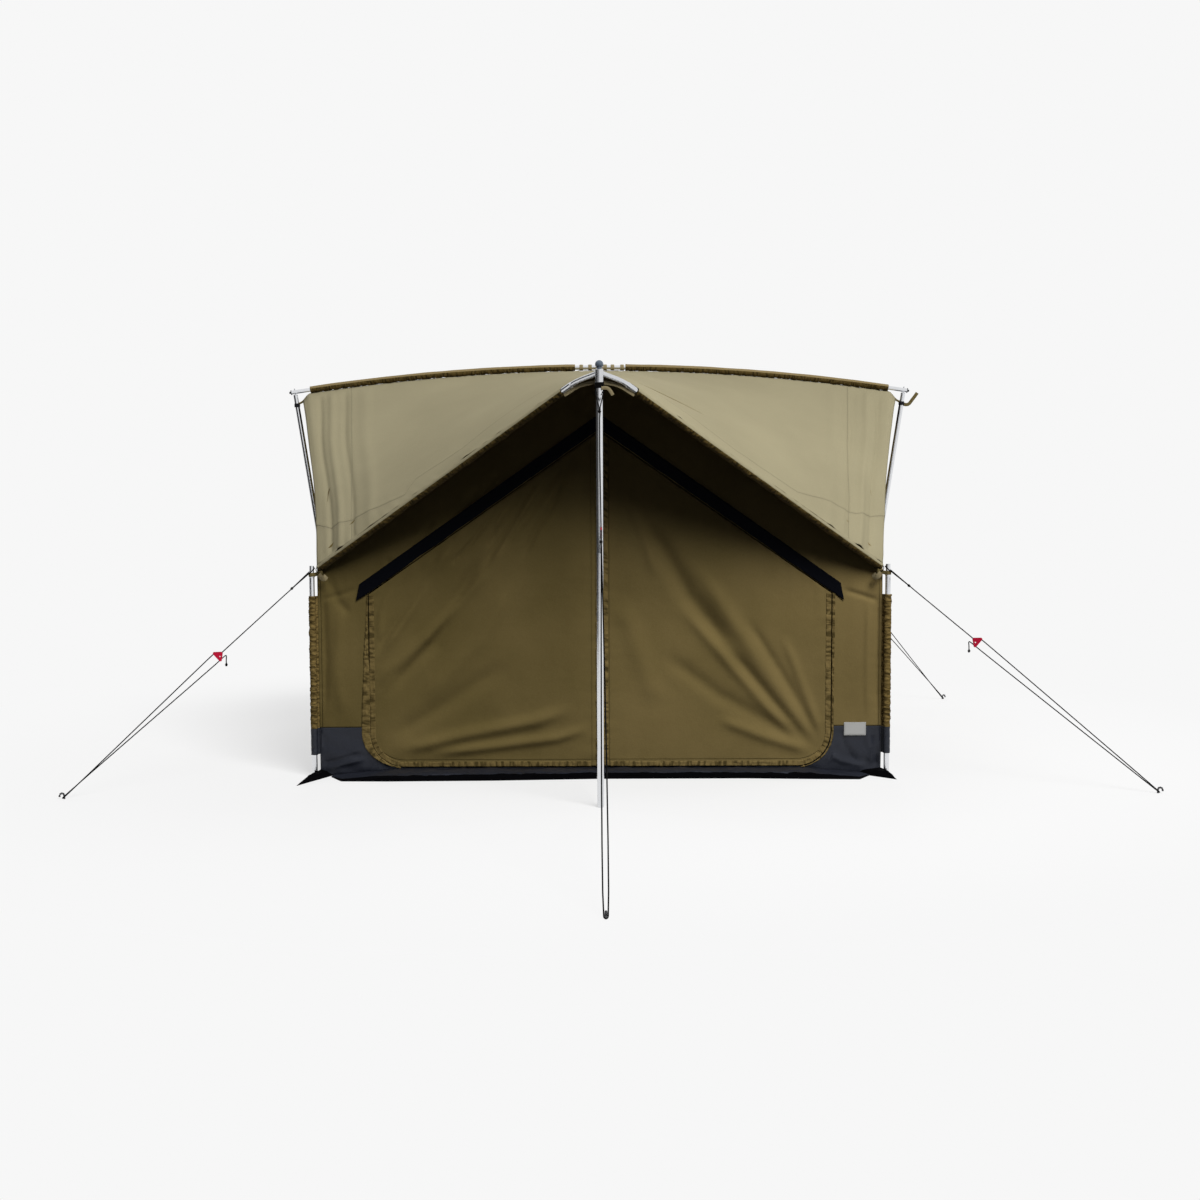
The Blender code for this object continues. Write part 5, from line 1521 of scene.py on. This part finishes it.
rear_relief = wall_relief(13)
bm = laid_grid(WALL_COLUMNS, WALL_ROWS, wall_cut, end_surface(1), rear_relief, (0, 1, 0),
               (side_seam_line, window_seam))
rear_area = area_of(bm)
window_cuts = []
for side in SIDES.values():
    window_cuts.append(((WINDOW_HALF * side, 0, 0), (1, 0, 0)))
    window_cuts.append(((0, 0, WINDOW_MIDDLE + side * (WINDOW_HIGH - WINDOW_LOW) / 2), (0, 0, 1)))
cut_out(bm, window_cuts, lambda place: window_distance(place) < 0)
rear_wall = thicken(make_piece("rear_wall_cloth", bm, [wall_canvas, inner_canvas]), inside=1)
stand_in(rear_wall, "rear_wall")
rear_area / HALF_FRONT
print("rear wall", round(rear_area, 2), "square metres before its window is cut out")


# %% Window net and its flap
def net_finish():
    finish = Finish("window net", {"Roughness": 0.8})
    cloth = finish.cloth()
    holes = (finish.bands(cloth, 0.003, "X") < 0.72) * (finish.bands(cloth, 0.003, "Y") < 0.72)
    colour = finish.mix(finish.noise(finish.place(), 30), linear(14, 14, 15), linear(28, 28, 30))
    return finish.feed(Base_Color=colour, Alpha=1 - holes).material


def net_surface(u, v):
    x = WINDOW_HALF * (2 * u - 1)
    return Vector((x, WALL_Y, WINDOW_LOW + v * (WINDOW_HIGH - WINDOW_LOW)))


def net_relief(u, v, place):
    return 0.003 * wave(place.x * 3, place.z * 3, 90) * min(1, u * 9, (1 - u) * 9, v * 9, (1 - v) * 9)


net_size = (2 * WINDOW_HALF, WINDOW_HIGH - WINDOW_LOW)
bm = laid_grid(80, 46, net_size, net_surface, net_relief, (0, 1, 0))
net = make_piece("rear_window_net_cloth", bm, [net_finish()])
stand_in(net, "rear_window_net")

FLAP_HALF, FLAP_LOW = WINDOW_HALF + 0.03, WINDOW_LOW - 0.03


def window_flap_surface(u, v):
    x = FLAP_HALF * (2 * u - 1)
    return Vector((x, WALL_Y - 0.0085, FLAP_LOW + v * (WINDOW_HINGE_Z - FLAP_LOW)))


def window_flap_relief(u, v, place):
    return 0.003 * (1 - v) * wave(place.x * 4, place.z * 2, 95)


flap_size = (2 * FLAP_HALF, WINDOW_HINGE_Z - FLAP_LOW)
bm = laid_grid(80, 50, flap_size, window_flap_surface, window_flap_relief, (0, 1, 0))
window_flap = make_piece("rear_window_flap_cloth", bm, [wall_canvas, inner_canvas], "window_flap")
thicken(window_flap, inside=1)
stand_in(window_flap, "rear_window_flap")
print("window net", net_size, "and flap", flap_size)

# %% [markdown]
# The floor turns up into a band all round, sewn to the walls along its top. Its coated cloth keeps
# the creases of being folded, so long shallow folds run along it and out of its corners. In front of
# the door the groundsheet is wider and lies in a flat roll, and at each corner a black flap of it
# sticks out over the ground.

# %% Tub band
BAND_BASE = 0.0012
PERIMETER = 4 * (BAND_X + BAND_Y)


def round_the_tub(distance):
    """A place on the band's plan, from the middle of the front wall round to it again."""
    runs = [(BAND_X, 0), (BAND_Y * 2, 1), (BAND_X * 2, 2), (BAND_Y * 2, 3), (BAND_X, 4)]
    for length, number in runs:
        if distance <= length or number == 4:
            break
        distance -= length
    return [
        Vector((distance, -BAND_Y, 0)),
        Vector((BAND_X, -BAND_Y + distance, 0)),
        Vector((BAND_X - distance, BAND_Y, 0)),
        Vector((-BAND_X, BAND_Y - distance, 0)),
        Vector((-BAND_X + distance, -BAND_Y, 0)),
    ][number]


def band_surface(u, v):
    place = round_the_tub(u * PERIMETER)
    place.z = BAND_BASE + v * (band_top(place) - BAND_BASE)
    return place


bm = laid_grid(700, 30, (PERIMETER, TUB_TOP), band_surface, lambda u, v, place: band_out(place), (0, 0, 0))
close_round(bm)
band_area = area_of(bm)
band = thicken(make_piece("tub_band", bm, [tub_cloth]), 0.0012, offset=-1)


# %% Tub floor
def floor_surface(u, v):
    return Vector((BAND_X * (2 * u - 1) * 0.999, BAND_Y * (2 * v - 1) * 0.999, 0.0024))


def floor_relief(u, v, place):
    edge = min(u, 1 - u, v, 1 - v) / 0.03
    return 0.0016 * (1 + wave(place.x * 5, place.y * 5, 110)) * ease(edge)


floor_size = (2 * BAND_X, 2 * BAND_Y)
bm = laid_grid(150, 125, floor_size, floor_surface, floor_relief, (0, 0, 1))
ground = thicken(make_piece("tub_floor", bm, [tub_cloth]), 0.0012)
stand_in(ground, "floor_tub")
print("tub floor", floor_size, "and band", round(band_area, 2), "square metres")

# %% Roll of groundsheet at the sill
# how far the roll reaches out, and how high it is, at places across the tent
SILL_X = (-1.41, -1.34, -1.10, -0.55, 0.0, 0.75, 1.10, 1.34, 1.41)
SILL_REACH = (0.05, 0.17, 0.178, 0.165, 0.125, 0.125, 0.15, 0.162, 0.05)
SILL_HEIGHT = (0.004, 0.014, 0.036, 0.039, 0.039, 0.039, 0.036, 0.014, 0.004)
SILL_SQUARE = 0.51  # how square the roll's section is: 1 is an ellipse, 0 a box
SILL_SHADE = 0.56  # the share of its girth after which the roll is black: painted shade of its front and lower side
SILL_LENGTH, SILL_GIRTH = 2.86, 0.21


def sill_surface(u, v):
    x = SILL_X[0] + u * (SILL_X[-1] - SILL_X[0])
    turn = v * math.pi / 2
    out = float(np.interp(x, SILL_X, SILL_REACH)) * math.sin(turn) ** SILL_SQUARE
    up = float(np.interp(x, SILL_X, SILL_HEIGHT)) * max(0.0, math.cos(turn)) ** SILL_SQUARE
    return Vector((x, -(WALL_Y - FIT) - out, GROUND + 0.0008 + up))


def sill_relief(u, v, place):
    high = float(np.interp(place.x, SILL_X, SILL_HEIGHT)) / SILL_HEIGHT[4]
    fade = ease(u / 0.03) * ease((1 - u) / 0.03) * ease((1 - v) / 0.15) * high
    roll = 0.005 * wave(place.x * 4, v * 3, 130) + 0.005 * wave(place.x * 13, v * 9, 131)
    roll += 0.003 * wave(place.x * 34 + v * 6, v * 14, 132)
    return (roll - 0.001) * fade


bm = laid_grid(420, 26, (SILL_LENGTH, SILL_GIRTH), sill_surface, sill_relief, (0, -1, 1))
# painted shade: the roll's front and lower side take the black cloth, below its lit top
for face, across in across_of(bm):
    edge = SILL_SHADE + 0.10 * wave(face.calc_center_median().x * 3.1, 0, 133)
    face.material_index = int(across / SILL_GIRTH > edge)
sill_area = area_of(bm)
sill = thicken(make_piece("sill_roll", bm, [tub_cloth, flap_cloth]), 0.001, offset=-1)
print("sill roll", round(sill_area, 3), "square metres")

# %% Flaps at the corners
GROUND_FLAP = (1.544, 1.432)  # where a rear flap's tip lies
FRONT_FLAPS = {-1: (1.548, 1.51), 1: (1.53, 1.39)}  # and the tips of the front left and right ones


def ground_flap(name, side, end):
    """A pointed black flap, as a hull of its corners that is divided and creased."""
    tip_x, tip_y = FRONT_FLAPS[side] if end < 0 else GROUND_FLAP
    corner, inside = WALL_X - FIT, WALL_Y - FIT
    start = 1.41 if end < 0 and side < 0 else 1.35
    points = [(tip_x, tip_y, GROUND), (start, inside, GROUND), (corner, inside, GROUND),
              (start + 0.03, inside, 0.0221), (corner, inside, 0.034),
              (tip_x - 0.004, tip_y - 0.007, 0.004),
              ((tip_x + corner) / 2, (tip_y + inside) / 2, 0.029)]
    bm = bmesh.new()
    for point in points:
        bm.verts.new(mirrored(point, side, end))
    bmesh.ops.convex_hull(bm, input=bm.verts)
    bmesh.ops.subdivide_edges(bm, edges=bm.edges, cuts=9, use_grid_fill=True)
    bm.normal_update()
    for vert in bm.verts:
        fold_out = 0.003 * wave(vert.co.x * 30, vert.co.y * 30, side + 2 * end)
        fade = ease(vert.co.z / 0.006)
        vert.co += vert.normal * (fold_out * fade)
    bmesh.ops.recalc_face_normals(bm, faces=bm.faces)
    make_piece(name, bm, [flap_cloth], sharp=60)


for corner, side, end in CORNERS:
    ground_flap(f"ground_flap_{corner}", side, end)
print("flaps on the ground:", len(CORNERS))


# %% [markdown]
# A cloth sleeve grips the middle of each corner pole. It is a strip gathered hard onto a cord, so
# it is wrinkled all over, khaki above and dark like the tub below, with a fin sewn to the wall.

# %% Corner sleeves
CORNER_SLEEVE = (0.116, 0.95)  # heights of its lower and upper end


def dark_below(bm):
    """Gives the faces beside the tub the second finish."""
    for face in bm.faces:
        face.material_index = int(face.calc_center_median().z < TUB_TOP)


for corner, side, end in CORNERS:
    name = f"corner_sleeve_{corner}"
    axis = Vector((HALF_WIDTH * side, HALF_DEPTH * end, 0))
    seed = 120 + 3 * side + 7 * end
    low, high = CORNER_SLEEVE

    def sleeve_surface(u, v):
        z = low + u * (high - low)
        turn = 2 * math.pi * v
        slant = z * 62 + 1.8 * math.sin(turn) + 0.8 * wave(z * 8, 0, seed)
        rough = 0.0062 * wave(slant, v * 2.2, seed) + 0.0024 * wave(z * 120, v * 4, seed + 1)
        calm = 0.35 + 0.65 * ease((z - TUB_TOP) / 0.03)
        radius = max(POLE_RADIUS + 0.0018, POLE_RADIUS + 0.0040 + rough * calm)
        return axis + Vector((radius * math.cos(turn), radius * math.sin(turn), z))

    bm = laid_grid(240, 20, (high - low, 0.11), sleeve_surface)
    close_round(bm)
    dark_below(bm)
    piece = thicken(make_piece(name + "_cloth", bm, [wrinkled_canvas, tub_cloth]), 0.001, offset=-1)
    stand_in(piece, name)

    def fin_surface(u, v):
        z = low + u * (high - low)
        wall = Vector((WALL_X * side, WALL_Y * end, z))
        pole = axis + Vector((0, 0, z))
        return (pole + (wall - pole).normalized() * 0.016).lerp(wall, v)

    def fin_relief(u, v, place):
        return 0.003 * wave(u * 30, v, seed + 4) * math.sin(math.pi * v)

    bm = laid_grid(120, 4, (high - low, 0.02), fin_surface, fin_relief, (side, -end, 0))
    dark_below(bm)
    fin = thicken(make_piece(name + "_fin", bm, [wrinkled_canvas, tub_cloth]), 0.001)
print("corner sleeves:", len(CORNERS))


# %% [markdown]
# Straps hold the canvas to its frame: one round each corner pole that draws the roof's corner in,
# one from each roof tip to the side pole, beige strips under the hub's arms, and loops round the
# bare middle of the cross pole. They are flat bars run along a route. A cord is wound round each
# centre pole below its hub. A light patch is sewn over the seam of the tub on the right, left bare.

# %% Straps
STRAP, STRAP_STEP = 0.0011, 0.02  # half the thickness of webbing, and the most between its places


def strap(name, route, finish, width):
    """Webbing along a route of places, standing on its edge where the route is level."""
    route = smooth_route(route, STRAP_STEP)
    strand(name, route, STRAP, [finish], count=8, flat=width / 2 / STRAP)


def round_post(centre, radius, start, finish, steps=10):
    """Places round an upright post from one angle to another, in degrees."""
    turns = [math.radians(start + (finish - start) * i / steps) for i in range(steps + 1)]
    return [Vector(centre) + Vector((math.cos(t), math.sin(t), 0)) * radius for t in turns]


for corner, side, end in CORNERS:
    post = Vector((HALF_WIDTH * side, HALF_DEPTH * end, 1.062))
    roof_corner = mirrored((1.441, 1.262, 1.075), side, end)
    around = round_post((0, 0, 0), STUB_RADIUS + 0.003, 20, 340)
    around = [post + mirrored((-p.x, -p.y, p.z), side, end) for p in around]
    route = [roof_corner + mirrored((0, 0.012, 0), side, end), *around, roof_corner]
    strap(f"corner_strap_{corner}", route, olive_webbing, 0.020)
    drop = roof_corner + mirrored((-0.002, 0.012, -0.006), side, end)
    tail = [drop + mirrored((0.020, 0.004, -0.006), side, end),
            drop + mirrored((0.004, 0.012, -0.022), side, end),
            drop + mirrored((-0.010, 0.010, -0.026), side, end),
            drop + mirrored((-0.020, 0.002, -0.012), side, end)]
    strap(f"corner_tail_{corner}", tail, beige_webbing, 0.030)
    loop_top = mirrored((1.459, 1.262, 1.088), side, end)
    loop = [loop_top + mirrored((0.016 * math.cos(t), 0.004, 0.016 * math.sin(t)), side, end)
            for t in (math.radians(36 * k) for k in range(10))]
    strand(f"corner_cord_{corner}", [*loop, loop[0]], 0.0022, [cord_black], count=6)

for side_name, side in SIDES.items():
    hook = Vector(((TIP_X - 0.012) * side, 0, 2.012))
    tip = Vector((1.742 * side, 0, cross_z(1.742) - 0.036))
    strap(f"tip_strap_{side_name}", [tip, tip.lerp(hook, 0.5) + Vector((0, 0, -0.010)), hook],
          olive_webbing, 0.012)
    ring = round_post(hook + Vector((0, 0, -0.006)), STUB_RADIUS + 0.004, 0, 350)
    strap(f"tip_ring_{side_name}", ring, black_webbing, 0.022)
    for end_name, end in ENDS.items():
        start = Vector((0.014 * side, (HUB_Y - 0.036) * end, HUB_Z - 0.042))
        finish_at = mirrored(rafter_at(0.165), side, end) + Vector((0, 0, -0.024))
        middle = start.lerp(finish_at, 0.5) + Vector((0, 0, 0.014))
        strap(f"hub_strap_{end_name}_{side_name}", [start, middle, finish_at], beige_webbing, 0.018)

TIP_TAIL = ((1.802, 0, 2.004), (1.842, 0, 1.999), (1.870, 0, 2.030), (1.898, 0, 2.068))
HUB_TAIL = ((0.010, -2.082, 1.966), (0.036, -2.084, 1.967), (0.052, -2.084, 1.952), (0.063, -2.084, 1.934))
strap("tip_tail_right", TIP_TAIL, olive_webbing, 0.020)
strap("hub_tail", HUB_TAIL, beige_webbing, 0.016)

# %% Webbing loops at the crown
CROWN_LOOPS, LOOP_WIDTH, LOOP_REACH = (-0.107, -0.055, 0.035, 0.079, 0.136), 0.022, 0.0165
TAPE_ENDS, TAPE_DROP = (-0.128, 0.150), 0.0178


def flat_strip(name, route):
    """Webbing that lies flat along a route: its width is level across the way."""
    piece = strand(name, route, LOOP_WIDTH / 2, [beige_webbing], count=8, flat=2 * STRAP / LOOP_WIDTH)
    stand_in(piece, "crown_tabs")


for number, x in enumerate(CROWN_LOOPS):
    turns = [math.radians(20 * i - 90) for i in range(19)]
    route = [(x, LOOP_REACH * math.cos(t), cross_z(x) + LOOP_REACH * math.sin(t)) for t in turns]
    flat_strip(f"crown_loop_{number}", [Vector(point) for point in route])
tape = [TAPE_ENDS[0] + (TAPE_ENDS[1] - TAPE_ENDS[0]) * i / 8 for i in range(9)]
flat_strip("crown_tape", [Vector((x, 0, cross_z(x) - TAPE_DROP)) for x in tape])
print("crown loops:", len(CROWN_LOOPS))

# %% Winding below the hub
for end_name, end in ENDS.items():
    turns, pitch = 5, 0.0054
    route = []
    for i in range(turns * 14 + 1):
        angle = 2 * math.pi * i / 14
        reach = CENTRE_RADIUS + BRAID + 0.0006
        place = Vector((reach * math.cos(angle), HUB_Y * end + reach * math.sin(angle), 0))
        route.append(place + Vector((0, 0, 1.966 + pitch * i / 14)))
    strand(f"hub_winding_{end_name}", route, BRAID, [cord_black], count=6)

# %% Bare patch
PATCH_X, PATCH_Z = (1.28, 1.395), (0.205, 0.275)


def patch_surface(u, v):
    x = PATCH_X[0] + u * (PATCH_X[1] - PATCH_X[0])
    return Vector((x, -WALL_Y, PATCH_Z[0] + v * (PATCH_Z[1] - PATCH_Z[0])))


def patch_relief(u, v, place):
    return max(front_face(place), CLOTH / 2 + 0.0014) + 0.0022


def patch_seam(u, v, place):
    edges = (place.x - PATCH_X[0], PATCH_X[1] - place.x, place.z - PATCH_Z[0], PATCH_Z[1] - place.z)
    return min(edges) - 0.004, 0.45


patch_cloth = canvas("bare patch", linear(168, 168, 166), linear(190, 190, 187), crease=0.001)
patch_cut = (PATCH_X[1] - PATCH_X[0], PATCH_Z[1] - PATCH_Z[0])
bm = laid_grid(46, 28, patch_cut, patch_surface, patch_relief, (0, -1, 0), (patch_seam,))
patch = thicken(make_piece("bare_patch", bm, [patch_cloth]), 0.0008)
print("bare patch", [round(size, 3) for size in patch_cut], "m")
